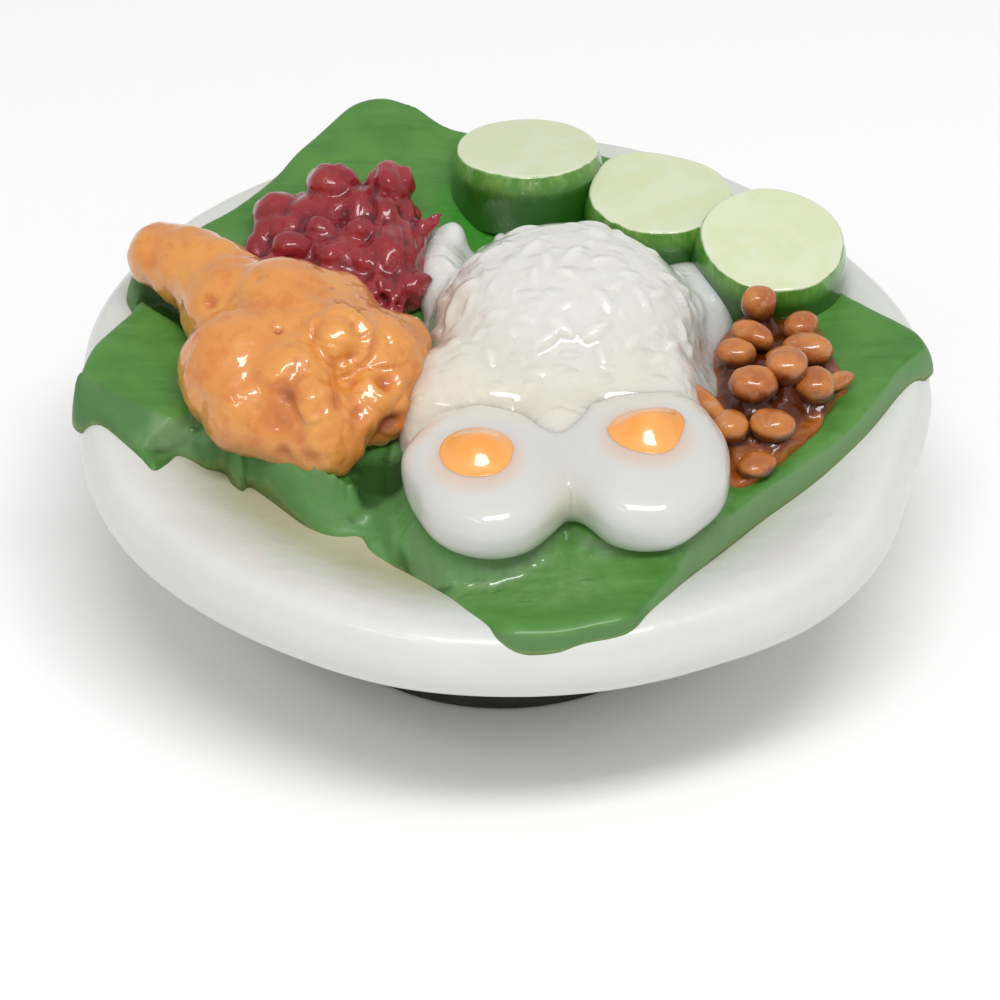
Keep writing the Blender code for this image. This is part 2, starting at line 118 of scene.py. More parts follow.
class Finish(Nodes):          # one material; its pattern is placed in millimetres on the piece itself
    def __init__(self, name, look, **constants):
        self.look = look
        self.material = bpy.data.materials.new(name)
        self.material.use_nodes = True
        super().__init__(self.material.node_tree)
        self.shader = self.tree.nodes["Principled BSDF"]
        for socket, value in constants.items():
            self.shader.inputs[socket.replace("_", " ")].default_value = value
        place = self.add("ShaderNodeTexCoord", out="Object")
        self.place = self.add("ShaderNodeVectorMath", {"operation": "SCALE"}, {"Vector": place, "Scale": 1 / mm})

    @cached_property
    def spot(self):                        # the place's X, Y and Z
        return self.parts(self.place)

    def away(self, middle, across=1.0, along=1.0):       # distance in plan, with X and Y weighted
        x, y = self.spot[0] - float(middle[0]), self.spot[1] - float(middle[1])
        return (x * x * across + y * y * along) ** 0.5

    def noise(self, scale, detail=2.0, rough=0.5, where=None, turn=(0, 0, 0), stretch=(1, 1, 1), shift=(0, 0, 0)):
        at = self.add("ShaderNodeMapping", {"vector_type": "POINT"},
                      {"Vector": where or self.place, "Location": shift, "Rotation": turn, "Scale": stretch})
        return self.add("ShaderNodeTexNoise", None,
                        {"Vector": at, "Scale": scale, "Detail": detail, "Roughness": rough})

    def grains(self, turn, share):         # a low rounded grain in so many of its cells
        at = self.add("ShaderNodeMapping", {"vector_type": "POINT"},
                      {"Vector": self.place, "Rotation": (0.4, 0.3, turn), "Scale": (0.55, 1.15, 1.0)})
        away = self.add("ShaderNodeTexVoronoi", {"feature": "F1"}, {"Vector": at, "Scale": 0.85})
        chance = self.add("ShaderNodeTexVoronoi", {"feature": "F1"}, {"Vector": at, "Scale": 0.85}, out="Color")
        chosen = self.step(self.parts(chance)[0], 1.0 - share, 1.02 - share)
        return self.maths("MAXIMUM", 0.16 - away * away, 0.0) * chosen

    def step(self, value, low, high):
        return self.add("ShaderNodeMapRange", {"interpolation_type": "SMOOTHSTEP"},
                        {"Value": value, "From Min": low, "From Max": high})

    def layered(self, under, *layers):     # colours laid over one another, each (how much of it shows, colour)
        for share, over in layers:
            under, over = (c if isinstance(c, Link) else (*self.look[c], 1.0) for c in (under, over))
            under = self.add("ShaderNodeMix", {"data_type": "RGBA"}, {0: share, 6: under, 7: over}, out=2)
        return under

    def attribute(self, name):
        return self.add("ShaderNodeAttribute", {"attribute_name": name}, out="Fac")

    def bump(self, height, depth):
        return self.add("ShaderNodeBump", None, {"Height": height, "Distance": depth * mm, "Strength": 1.0})

    def wear(self, **links):
        for socket, link in links.items():
            self.plug(self.shader.inputs[socket.replace("_", " ")], link)
        return self.material


class Build(Nodes):           # a Geometry Nodes tree with named inputs, its material among them
    def __init__(self, name, **inputs):
        super().__init__(bpy.data.node_groups.new(name, "GeometryNodeTree"))
        face = self.tree.interface
        face.new_socket("Geometry", in_out="INPUT", socket_type="NodeSocketGeometry")
        self.keys = {}
        for label, (kind, value) in {**inputs, "Material": ("Material", None)}.items():
            socket = face.new_socket(label, in_out="INPUT", socket_type="NodeSocket" + kind)
            self.keys[label] = (socket.identifier, value)
        face.new_socket("Geometry", in_out="OUTPUT", socket_type="NodeSocketGeometry")
        self.start = self.tree.nodes.new("NodeGroupInput")

    def given(self, label):
        return Link(self, self.start.outputs[label])

    def end(self, geometry):
        real = self.add("GeometryNodeRealizeInstances", values=[geometry])
        painted = self.add("GeometryNodeSetMaterial", None, {"Geometry": real, "Material": self.given("Material")})
        self.plug(self.tree.nodes.new("NodeGroupOutput").inputs[0], painted)
        return self

    def on(self, holder, **values):
        modifier = holder.modifiers.new(self.tree.name, "NODES")
        modifier.node_group = self.tree
        for label, (key, value) in self.keys.items():
            modifier[key] = values.get(label, value)
        return holder


# meshes

def newMesh(name, coords, faces, **attributes):
    mesh = bpy.data.meshes.new(name)
    mesh.from_pydata(np.asarray(coords, float).tolist(), [], [tuple(map(int, f)) for f in faces])
    for label, values in attributes.items():
        setAttribute(mesh, label, values)
    return mesh


def setAttribute(mesh, label, values):
    values = np.asarray(values, np.float32)
    kind = "FLOAT_VECTOR" if values.ndim == 2 else "FLOAT"
    layer = mesh.attributes.new(label, kind, "POINT")
    layer.data.foreach_set("vector" if values.ndim == 2 else "value", values.ravel())


def newObject(name, mesh, shown=True):
    piece = bpy.data.objects.new(name, mesh)
    bpy.context.scene.collection.objects.link(piece)
    piece.hide_render = not shown
    return piece


def settled(holder):
    bpy.context.view_layer.update()
    result = bpy.data.meshes.new_from_object(holder.evaluated_get(bpy.context.evaluated_depsgraph_get()))
    bpy.data.objects.remove(holder, do_unlink=True)
    return result


def coordsOf(mesh):
    flat = np.empty(len(mesh.vertices) * 3)
    mesh.vertices.foreach_get("co", flat)
    return flat.reshape(-1, 3)


def normalsOf(mesh):
    flat = np.empty(len(mesh.vertices) * 3, np.float32)
    mesh.vertex_normals.foreach_get("vector", flat)
    return flat.reshape(-1, 3).astype(float)


def setCoords(mesh, coords):
    mesh.vertices.foreach_set("co", np.asarray(coords, float).ravel())
    mesh.update()


def relaxed(mesh, values, passes, strength=0.5):
    # each point drawn towards its neighbours, so many times over
    pairs = np.empty(len(mesh.edges) * 2, int)
    mesh.edges.foreach_get("vertices", pairs)
    a, b = pairs.reshape(-1, 2).T
    n = len(mesh.vertices)
    count = np.maximum(np.bincount(a, minlength=n) + np.bincount(b, minlength=n), 1)[:, None]
    values = np.array(values, float).reshape(n, -1)
    for _ in range(passes):
        near = np.stack([np.bincount(a, column[b], n) + np.bincount(b, column[a], n) for column in values.T], 1)
        values += strength * (near / count - values)
    return values


def addHollow(mesh, passes, size, label="hollow"):
    # above 0 in a hollow, below 0 on a ridge
    coords = coordsOf(mesh)
    depth = ((relaxed(mesh, coords, passes) - coords) * normalsOf(mesh)).sum(1) / size
    setAttribute(mesh, label, relaxed(mesh, depth, 1)[:, 0])


def swells(p, rows):
    # uneven swells, each (height, how close together, shift)
    return sum(height * noise.noise(p * close + Vector(shift)) for height, close, shift in rows)


def roughen(mesh, amount):
    # pushes each point along its normal by amount(point)
    coords, normals = coordsOf(mesh), normalsOf(mesh)
    push = np.array([amount(Vector(c)) for c in coords])
    setCoords(mesh, coords + normals * push[:, None])


def skinned(holder, voxel, passes):
    # one skin over all that an object shows, eased so many times
    skin = holder.modifiers.new("skin", "REMESH")
    skin.mode, skin.voxel_size, skin.adaptivity = "VOXEL", voxel, 0.0
    mesh = settled(holder)
    setCoords(mesh, relaxed(mesh, coordsOf(mesh), passes))
    return mesh


def fused(name, forms, voxel, passes):
    # one skin over overlapping closed forms
    coords, faces, start = [], [], 0
    for some, corners in forms:
        coords.append(some)
        faces += [tuple(start + i for i in face) for face in corners]
        start += len(some)
    return skinned(newObject(name, newMesh(name, np.concatenate(coords), faces)), voxel, passes)


def melted(mesh, forms, soften, passes=8):
    # draws a skin onto the softened union of rounded forms, each (middle, half sizes, squareness)
    def away(points):
        each = []
        for middle, half, square in forms:
            x, y, z = ((points - middle) / half).T
            size = (np.hypot(x, y) ** square + np.abs(z) ** square) ** (1 / square)
            each.append((size - 1) * min(half))
        each = np.array(each)
        least = each.min(0)
        return least - soften * np.log(np.exp(-(each - least) / soften).sum(0))

    points, tiny = coordsOf(mesh), 0.01
    for _ in range(passes):
        now = away(points)
        slope = np.stack([away(points + step) - now for step in np.eye(3) * tiny], 1) / tiny
        points = points - (now / np.maximum((slope ** 2).sum(1), 0.2))[:, None] * slope
    setCoords(mesh, relaxed(mesh, points, 6))


def finish(name, mesh, material, body, nodes=(), sharp=None):
    mesh.name = name
    mesh.transform(Matrix.Scale(mm, 4))
    mesh.materials.clear()
    mesh.materials.append(material)
    mesh.shade_smooth()
    if sharp:
        mesh.set_sharp_from_angle(angle=math.radians(sharp))
    piece = newObject(name, mesh)
    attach(piece, body)
    if nodes:
        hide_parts(*nodes)
    print(f"{name}: {sum(len(p.vertices) - 2 for p in mesh.polygons)} triangles")
    return piece


# forms

def smooth(t):
    t = np.clip(t, 0.0, 1.0)
    return t * t * (3 - 2 * t)


def bell(x, y, centre, radius):
    return np.exp(-((x - centre[0]) ** 2 + (y - centre[1]) ** 2) / radius ** 2)


def splined(a, b, c, d, t):
    # smoothly from b to c, with a before them and d after
    return 0.5 * (2 * b + (c - a) * t + (2 * a - 5 * b + 4 * c - d) * t ** 2 + (3 * b - a - 3 * c + d) * t ** 3)


def closedCurve(points, steps=8):
    p = np.array(points, float)
    a, b, c, d = (np.roll(p, -k, 0)[:, None] for k in (-1, 0, 1, 2))
    t = (np.arange(steps) / steps)[None, :, None]
    return splined(a, b, c, d, t).reshape(-1, p.shape[1])


def insideBy(points, curve):
    # distance to a closed plan curve, above 0 inside it
    a, b = curve, np.roll(curve, -1, 0)
    along = b - a
    length = (along ** 2).sum(1)
    result = []
    for some in np.array_split(points, max(1, len(points) // 3000)):
        d = some[:, None] - a[None]
        t = np.clip((d * along).sum(2) / length, 0, 1)
        far = np.sqrt(((d - t[..., None] * along) ** 2).sum(2)).min(1)
        x, y = some[:, :1], some[:, 1:]
        spans = (a[:, 1] > y) != (b[:, 1] > y)
        with np.errstate(divide="ignore", invalid="ignore"):
            crossing = x < (b[:, 0] - a[:, 0]) * (y - a[:, 1]) / (b[:, 1] - a[:, 1]) + a[:, 0]
        inside = (spans & crossing).sum(1) % 2 == 1
        result.append(np.where(inside, far, -far))
    return np.concatenate(result)


def evenly(curve, spacing):
    # the same closed curve with points at one spacing
    closed = np.concatenate([curve, curve[:1]])
    run = np.concatenate([[0], np.cumsum(np.hypot(*np.diff(closed, axis=0).T))])
    at = np.linspace(0, run[-1], int(run[-1] / spacing), endpoint=False)
    return np.stack([np.interp(at, run, closed[:, k]) for k in (0, 1)], 1)


def besideLine(points, line):
    # distance to an open plan line, above 0 on its right-hand side, and how far past the line's ends
    line = np.array(line, float)
    a, along = line[:-1], np.diff(line, axis=0)
    d = points[:, None] - a[None]
    length = np.hypot(*along.T)
    share = (d * along).sum(2) / length ** 2
    far = np.sqrt(((d - np.clip(share, 0, 1)[..., None] * along) ** 2).sum(2))
    near, each = far.argmin(1), np.arange(len(points))
    right = d[each, near, 0] * along[near, 1] - d[each, near, 1] * along[near, 0]
    past = np.where(near == 0, np.maximum(0, -share[:, 0] * length[0]), 0) \
        + np.where(near == len(a) - 1, np.maximum(0, (share[:, -1] - 1) * length[-1]), 0)
    return far[each, near] * np.sign(right), past


def blended(x, y, table, reach):
    # a smooth value between the table's places, each (x, y, value)
    weights = np.stack([bell(x, y, row[:2], reach) for row in table]) + 1e-12
    values = np.array([row[2] for row in table])
    return np.tensordot(values, weights, 1) / weights.sum(0)


def roundForm(place, spokes=32, rings=16):
    # a closed ball whose points go to place(angle, fall), fall running from 0 on top to 1 underneath
    fall = np.arange(1, rings) / rings
    angle = 2 * np.pi * np.arange(spokes) / spokes
    f, a = (grid.ravel() for grid in np.meshgrid(fall, angle, indexing="ij"))
    coords = np.stack(place(np.concatenate([a, [0.0, 0.0]]), np.concatenate([f, [0.0, 1.0]])), 1)
    top, bottom = len(coords) - 2, len(coords) - 1
    faces = []
    for k in range(spokes):
        n = (k + 1) % spokes
        faces.append((top, k, n))
        for r in range(rings - 2):
            faces.append((r * spokes + k, (r + 1) * spokes + k, (r + 1) * spokes + n, r * spokes + n))
        faces.append(((rings - 2) * spokes + k, bottom, (rings - 2) * spokes + n))
    return coords, faces


def lump(centre, radii, turn=0.0, tip=0.0, spokes=20, rings=12):
    # an ellipsoid, turned about Z and tipped about its own Y, in degrees
    radii = (radii,) * 3 if np.isscalar(radii) else radii
    turned = np.array(Matrix.Rotation(math.radians(turn), 3, "Z") @ Matrix.Rotation(math.radians(tip), 3, "Y"))

    def place(angle, fall):
        across = np.sin(fall * np.pi)
        ball = np.stack([radii[0] * across * np.cos(angle), radii[1] * across * np.sin(angle),
                         radii[2] * np.cos(fall * np.pi)])
        return np.asarray(centre)[:, None] + turned @ ball

    return roundForm(place, spokes, rings)


def slabForm(outline, top, bottom, spokes, rings, centre=None, wall=0.1):
    # a closed body between two heights over a plan outline that can be seen whole from its centre
    curve = closedCurve(outline)
    centre = curve.mean(0) if centre is None else np.array(centre)
    polar = sorted((math.atan2(p[1] - centre[1], p[0] - centre[0]), math.dist(p, centre)) for p in curve)
    angles, reaches = np.array(polar).T
    reach = (1 - wall) / 2

    def place(angle, fall):
        turned = (angle + np.pi) % (2 * np.pi) - np.pi
        radius = np.interp(turned, angles, reaches, period=2 * np.pi)
        share = np.minimum(1.0, np.minimum(fall, 1 - fall) / reach)
        x = centre[0] + share * radius * np.cos(angle)
        y = centre[1] + share * radius * np.sin(angle)
        down = np.clip((fall - reach) / wall, 0, 1)
        return x, y, top(x, y, share) * (1 - down) + bottom(x, y) * down

    return roundForm(place, spokes, rings)


# dish and magnet: turned forms

dishLook = {
    "crestRadius": 28.0, "lipReach": 1.8, "lipDrop": 2.75, "lipTurn": 145,
    "wellRadius": 19.0, "wellDepth": 2.2, "wallHollow": 0.35,
    "baseRadius": 17.4, "footWide": 1.2, "footHigh": 1.0,
    # the hand-made outline: share of the crest radius at every 15 degrees from the right-hand side
    "shares": (1.035, 1.03, 1.0, 1.0, 1.0, 1.0, 1.0, 1.0, 1.0, 1.012, 1.025, 1.03,
               1.012, 1.023, 1.019, 0.999, 0.988, 0.995, 0.997, 1.007, 1.021, 1.052, 1.045, 1.012),
    "around": 288, "along": 200, "bump": 0.22,
    "white": (0.69, 0.70, 0.665), "shade": (0.62, 0.62, 0.58),
    # "low" is painted shade towards the foot; "warm" is painted shade, warm tinted, in the well by the leaf
    "low": (0.49, 0.50, 0.455), "warm": (0.50, 0.455, 0.31),
}
magnetLook = {
    "edge": 0.6, "around": 128, "along": 90, "bump": 0.05,
    "dark": (0.017, 0.016, 0.011), "dust": (0.060, 0.056, 0.046),
}

dishShares = np.array(dishLook["shares"])


def dishShare(angle):
    place = (np.degrees(angle) % 360) / 15
    first = np.floor(place).astype(int)
    t = place - first
    a, b, c, d = (dishShares[(first + k) % len(dishShares)] for k in (-1, 0, 1, 2))
    return splined(a, b, c, d, t)


def dishTop(x, y):
    # height of the dish's upper face
    look = dishLook
    r = np.hypot(x, y) / dishShare(np.arctan2(y, x))
    rise = smooth((r - look["wellRadius"]) / (look["crestRadius"] - look["wellRadius"]))
    out = np.clip((r - look["crestRadius"]) / look["lipReach"], 0, 1)
    return rimTop - look["wellDepth"] * (1 - rise) - look["lipDrop"] * (1 - np.sqrt(1 - out ** 2))


def turnedTree():
    b = Build("turnedForm", Profile=("Object", None), Around=("Int", 64), Along=("Int", 32), Weld=("Float", 0.001))
    grid = b.add("GeometryNodeMeshGrid", None, {"Size X": 1.0, "Size Y": 1.0, "Vertices X": b.given("Around") + 1,
                                                "Vertices Y": b.given("Along") + 1})
    x, y, _ = b.parts(b.add("GeometryNodeInputPosition"))
    profile = b.add("GeometryNodeObjectInfo", None, {"Object": b.given("Profile")}, out="Geometry")
    sampled = b.add("GeometryNodeSampleCurve", {"mode": "FACTOR", "use_all_curves": True},
                    {"Curves": profile, "Factor": y + 0.5}, out="Position")
    radius, follow, height = b.parts(sampled)
    steps = 48
    outline = [(k / steps, float(dishShare(math.radians(-360 / steps * k))) / 2) for k in range(steps + 1)]
    share = b.add("ShaderNodeFloatCurve", {"points": outline}, {"Value": x + 0.5})
    wide = radius * (1 + (share * 2 - 1) * follow)
    angle = (x + 0.5) * (-2 * math.pi)
    spot = b.add("ShaderNodeCombineXYZ",
                 values=[wide * b.maths("COSINE", angle), wide * b.maths("SINE", angle), height])
    marked = b.add("GeometryNodeStoreNamedAttribute", {"data_type": "FLOAT", "domain": "POINT"},
                   {"Geometry": grid, "Name": "along", "Value": y + 0.5})
    moved = b.add("GeometryNodeSetPosition", None, {"Geometry": marked, "Position": spot})
    welded = b.add("GeometryNodeMergeByDistance", None, {"Geometry": moved, "Distance": b.given("Weld")})
    return b.end(welded)


turnedForm = turnedTree()


def turned(name, profile, look, material):
    # profile: (radius, height, how far it follows the uneven outline), from the top's centre to the underside's
    line = bpy.data.curves.new(name + "Profile", "CURVE")
    line.dimensions = "3D"
    spline = line.splines.new("POLY")
    spline.points.add(len(profile) - 1)
    for point, (radius, height, follow) in zip(spline.points, profile):
        point.co = (radius, follow, height, 1.0)
    guide = newObject(name + "Profile", line, shown=False)
    holder = newObject(name, bpy.data.meshes.new(name))
    turnedForm.on(holder, Profile=guide, Around=look["around"], Along=look["along"], Material=material)
    mesh = settled(holder)
    bpy.data.objects.remove(guide, do_unlink=True)
    return mesh


def dishProfile():
    look = dishLook
    crest, reach, drop = look["crestRadius"], look["lipReach"], look["lipDrop"]
    well, depth = look["wellRadius"], look["wellDepth"]
    base, wide, high = look["baseRadius"], look["footWide"], look["footHigh"]
    profile = [(0.0, rimTop - depth, 0.0)]
    for k in range(25):
        profile.append((well + (crest - well) * k / 24, rimTop - depth * (1 - float(smooth(k / 24))), 1.0))
    for k in range(1, 25):
        a = math.radians(90 - look["lipTurn"] * k / 24)
        profile.append((crest + reach * math.cos(a), rimTop - drop * (1 - math.sin(a)), 1.0))
    lipEnd, foot = profile[-1], (base + wide, dishFoot + high)
    for k in range(1, 13):                # the wall, a little hollow on its way in to the foot
        t = k / 12
        sag = look["wallHollow"] * math.sin(math.pi * t)
        profile.append((lipEnd[0] + (foot[0] - lipEnd[0]) * t - sag, lipEnd[1] + (foot[1] - lipEnd[1]) * t + sag,
                        float(smooth((1 - t) * 1.3))))
    for k in range(1, 9):                 # rounded foot
        a = math.radians(-10 - 80 * k / 8)
        profile.append((base + wide * math.cos(a), dishFoot + high * (1 + math.sin(a)), 0.0))
    profile.append((0.0, dishFoot, 0.0))
    return profile


def glazeFinish():
    f = Finish("whiteGlaze", dishLook, Roughness=0.38, Coat_Weight=0.5, Coat_Roughness=0.05, IOR=1.5)
    z = f.spot[2]
    cloud = f.noise(0.09, 3.0)
    speck = f.step(f.noise(2.6, 4.0, 0.6), 0.66, 0.74)
    # painted shade with a warm tint in the well, where the dish meets the leaf
    well = f.step(f.away((0, 0)) + (cloud - 0.5) * 4, 26.0, 20.5) * f.step(z, 14.0, 16.0)
    # the "low" layer darkens the wall towards the foot: painted shade
    colour = f.layered("white", (f.step(cloud, 0.35, 0.75) * 0.5, "shade"), (speck * 0.12, "shade"), (well, "warm"),
                       (f.step(z + (cloud - 0.5) * 3, 17.5, 10.0) * 0.85, "low"))
    waves = f.noise(0.28, 2.0) + f.noise(1.1, 2.0) * 0.12
    return f.wear(Base_Color=colour, Normal=f.bump(waves, dishLook["bump"]))


glaze = glazeFinish()
finish("dish_glazed", turned("dish", dishProfile(), dishLook, glaze), glaze, "root", ["dish"])


def magnetProfile():
    low, high = boxOf("magnet")
    radius, edge = (high[0] - low[0]) / 2, magnetLook["edge"]
    return [(0.0, high[2], 0), (radius - edge, high[2], 0), (radius - edge * 0.3, high[2] - edge * 0.3, 0),
            (radius, high[2] - edge, 0), (radius, low[2] + edge, 0), (radius - edge * 0.3, low[2] + edge * 0.3, 0),
            (radius - edge, low[2], 0), (0.0, low[2], 0)]


def ferriteFinish():
    f = Finish("ferrite", magnetLook, Roughness=0.55, IOR=1.45)
    grain = f.noise(5.0, 4.0, 0.7)
    scuff = f.step(f.noise(0.6, 3.0, 0.6, stretch=(1, 1, 3)), 0.5, 0.75)
    colour = f.layered("dark", (scuff * 0.5 + f.step(grain, 0.5, 0.8) * 0.4, "dust"))
    return f.wear(Base_Color=colour, Roughness=0.45 + grain * 0.3, Normal=f.bump(grain, magnetLook["bump"]))


ferrite = ferriteFinish()
finish("magnet_disc", turned("magnet", magnetProfile(), magnetLook, ferrite), ferrite, "root", ["magnet"],
       sharp=35)
print("dish and magnet turned")


# banana leaf

leafLook = {
    # where its lower edge lies, in plan, counter-clockwise from the right-hand corner
    "outline": ((30.9, 0.9), (30.4, 3.0), (28.9, 4.6), (26.6, 6.6), (24.8, 8.6), (22.0, 13.6), (15.6, 20.6),
                (6.0, 25.2), (-3.1, 25.8), (-6.2, 27.6), (-9.0, 28.6), (-12.2, 27.2), (-15.0, 23.4), (-19.0, 17.8),
                (-22.4, 14.6), (-26.4, 10.8), (-27.2, 8.6), (-26.6, 6.2), (-28.2, 3.6), (-29.7, 1.2), (-30.5, -2.0),
                (-30.3, -4.4), (-28.3, -5.8), (-26.8, -7.5), (-25.4, -9.2), (-24.4, -10.5), (-23.5, -9.3),
                (-22.8, -7.9), (-21.8, -8.1), (-20.8, -8.7), (-19.6, -8.8), (-18.9, -10.1), (-18.2, -10.7),
                (-17.7, -10.1), (-16.3, -11.4), (-14.1, -13.9), (-12.7, -15.0), (-11.4, -15.4), (-9.9, -15.4),
                (-9.2, -16.8), (-8.1, -18.1), (-5.8, -20.2), (-3.9, -22.6), (-2.4, -25.2), (-1.0, -27.2),
                (-0.3, -28.5), (1.2, -29.2), (3.7, -29.1), (5.6, -28.6), (8.0, -28.0), (9.2, -27.3), (10.1, -25.9),
                (11.6, -23.6), (13.8, -20.1), (18.0, -14.6), (22.8, -10.1), (25.8, -6.6), (28.2, -2.6), (29.4, -0.8)),
    # height of its lower edge where it hangs past the dish
    "hang": ((-30, -1, 17.6), (31, 1, 18.5), (-9, 28, 20.4), (-3, 26, 19.9), (-14, 24, 20.2), (-26, 8, 19.2),
             (20, 17, 19.0), (2, -29, 18.2), (8, -28, 18.6)),
    # height of its upper face
    "heights": ((0, 0, 19.9), (-8, 0, 19.9), (8, 0, 19.9), (0, 8, 19.9), (0, -8, 19.9), (-10, -8, 19.9),
                (10, -8, 20.0), (16, 0, 20.0), (16, 8, 20.1), (8, 16, 20.2), (0, 14, 20.1), (-8, 12, 20.3),
                (-1.5, 18, 20.9), (-4, 20, 21.4), (-6, 16, 21.0), (3, 18, 20.5), (0, 21, 21.0), (-7, 26, 23.0),
                (-12, 22, 22.4), (-3, 24, 22.0), (-16, 17, 21.8), (-14, 12, 20.9), (2, 22, 20.9),
                (10, 20, 20.5), (17, 15, 20.5), (22, 9, 20.5), (-20, 13, 21.6), (-24, 9, 21.3), (-26, 7.4, 21.2),
                (-27, 3, 20.9), (-28.5, -1, 20.8), (-26, -3, 21.0), (-24, -5, 20.7), (-22, -3, 20.6), (-20, -1, 20.3),
                (-24, 1, 21.0), (-27.5, -4, 20.7), (-24, -9, 20.6), (-19, -8, 20.9), (-18, -7, 20.9),
                (-16.5, -10, 20.9), (-15, -10.5, 20.9), (-14, -12.5, 20.7), (-12, -12.5, 20.4), (-12, -14.5, 20.0),
                (-9.5, -12.5, 19.2), (-8.6, -14.6, 19.2), (-8, -16, 18.9), (-7, -17, 18.7), (-6, -19, 18.3),
                (-3, -21.6, 18.0), (-1, -22.6, 18.0), (2, -22, 18.8), (4.5, -19.5, 19.2), (5, -23, 19.0),
                (2, -25.5, 19.2),
                (2, -28.3, 20.0), (6, -27.2, 19.9), (9, -24.5, 19.8), (12, -21, 19.7), (15, -18, 19.6),
                (18, -14.6, 19.5), (21, -12, 19.6), (23.5, -9.0, 19.9), (26, -5, 20.4), (29, -1, 20.7),
                (30, 2, 20.7), (27, 4, 20.6), (24, 0, 20.3), (21, -6, 20.0)),
    "reach": 2.6, "hangReach": 3.0,       # how far each height counts
    "overDish": 0.35, "footSink": 0.12,
    # its rounded side: width, roundness, width at a fold, and places where it is wider, (place, spread, extra)
    "edgeWidth": 1.0, "edgeRound": 1.6, "foldEdge": 0.45,
    "widths": (((-4.0, -21.5), 3.0, 0.5), ((13.5, -19.5), 3.0, 0.5), ((3.6, -28.4), 3.4, 1.2)),
    # lines past which it slopes down on the right-hand side, each with its steepness; the steep one is torn
    "slopes": ((((-31.0, -1.2), (-29.6, -2.0), (-27.3, -4.1), (-25.0, -5.9), (-22.3, -7.7), (-20.9, -8.9)), 0.62),
               (((-20.6, -7.6), (-19.2, -9.3), (-17.3, -10.6), (-15.3, -11.7), (-13.4, -12.9), (-11.7, -13.4),
                 (-10.4, -13.2)), 1.7)),
    "slopeFade": 2.4,                     # how far past their ends they fade out
    # the torn edge: height, least share of it, width, how far past its ends it fades out, ripples (height,
    # how close, shift) and teeth (x, width, height)
    "tearHeight": 1.8, "tearLeast": 0.30, "tearWidth": 0.42, "tearFade": 0.8,
    "ripples": ((0.14, 4.3, 1.0), (0.10, 9.7, 2.0)),
    "teeth": ((-16.5, 0.9, 1.1), (-19.4, 1.0, 0.8), (-12.6, 0.7, 0.5)),
    "pit": ((-8.7, -12.3), 1.9, 1.0),     # place, spread, depth
    "fold": ((-22.0, -0.5), (-21.2, -4.0), (-20.5, -6.6), (-19.7, -9.6)), "foldDepth": 1.0, "foldWidth": 0.45,
    # its mesh: spacing above and below, rows inside its edge, round the seat and along the slopes, and the share in
    # a hundred of the points that stay where the food hides it
    "fine": 0.30, "coarse": 2.5, "edgeRows": (0.05, 0.12, 0.22, 0.36, 0.55, 0.8),
    "seatRows": (0.28, 0.12, -0.05, -0.22, -0.4, -0.58, -0.78), "slopeRows": (-0.35, -0.2, -0.05, 0.1, 0.25, 0.4),
    "hiddenRadius": 9.0, "hiddenShare": 12,
    "hollow": (20, 0.10), "bump": 0.22,   # passes and size of what counts as a hollow; depth of the paint's bumps
    # where it is smoothed: round the eggs' seat (how far out, spread), one more place, above what height, passes
    "eased": ((0.5, 0.9), ((-10.3, -15.6), 1.8), 17.4, 24),
    # the hollow under the drumstick's neck, and the flat seat of the eggs
    "neckHollow": ((-26.6, 7.4), (-25.6, 5.6), (-23.6, 3.8), (-22.0, 2.2), (-20.6, 2.6), (-20.6, 4.6), (-22.6, 6.6),
                   (-24.4, 8.0)),
    "neckDepth": 1.9, "seatHeight": 20.4,
    "eggSeat": ((-6.9, -10.2), (-6.9, -12.4), (-6.7, -14.5), (-6.3, -16.6), (-5.7, -18.4), (-4.8, -19.9),
                (-3.6, -21.0), (-2.2, -21.5), (-0.1, -21.6), (1.2, -21.0), (2.6, -19.9), (3.7, -18.8), (4.5, -17.6),
                (5.4, -18.8), (6.7, -19.8), (8.8, -20.5), (10.5, -20.8), (12.2, -20.2), (13.6, -18.6), (14.6, -16.8),
                (15.4, -14.5), (15.8, -11.8), (14.0, -7.0), (4.5, -5.0), (-5.0, -6.5)),
    "green": (0.056, 0.200, 0.026), "bright": (0.086, 0.250, 0.040), "deep": (0.018, 0.110, 0.005),
    "lush": (0.026, 0.225, 0.004), "side": (0.072, 0.180, 0.055), "sidePale": (0.155, 0.270, 0.120),
    "plane": (0.105, 0.265, 0.075), "pale": (0.13, 0.29, 0.08), "rim": (0.20, 0.29, 0.08),
    "shade": (0.010, 0.050, 0.003),
    # brush strokes: degrees they are turned by, shift
    "brushes": ((38, (0, 0, 0)), (14, (9, 4, 0))),
    # places with a colour of their own: between the slices and the sambal, the wet patch and the scoop in front of
    # the eggs, and where the scoop's rays start; the dark nook by the drumstick is painted shade, its flat painted
    # light
    "gap": (-1.5, 16.5), "nook": (-8.3, -11.9), "flat": (-8.4, -16.0), "wet": (1.5, -22.6), "scoop": (2.5, -22.6),
    "fan": (4.4, -17.5),
}

leafCurve = evenly(closedCurve(leafLook["outline"], 16), 0.32)
eggSeat = closedCurve(leafLook["eggSeat"], 6)
neckHollow = closedCurve(leafLook["neckHollow"], 6)


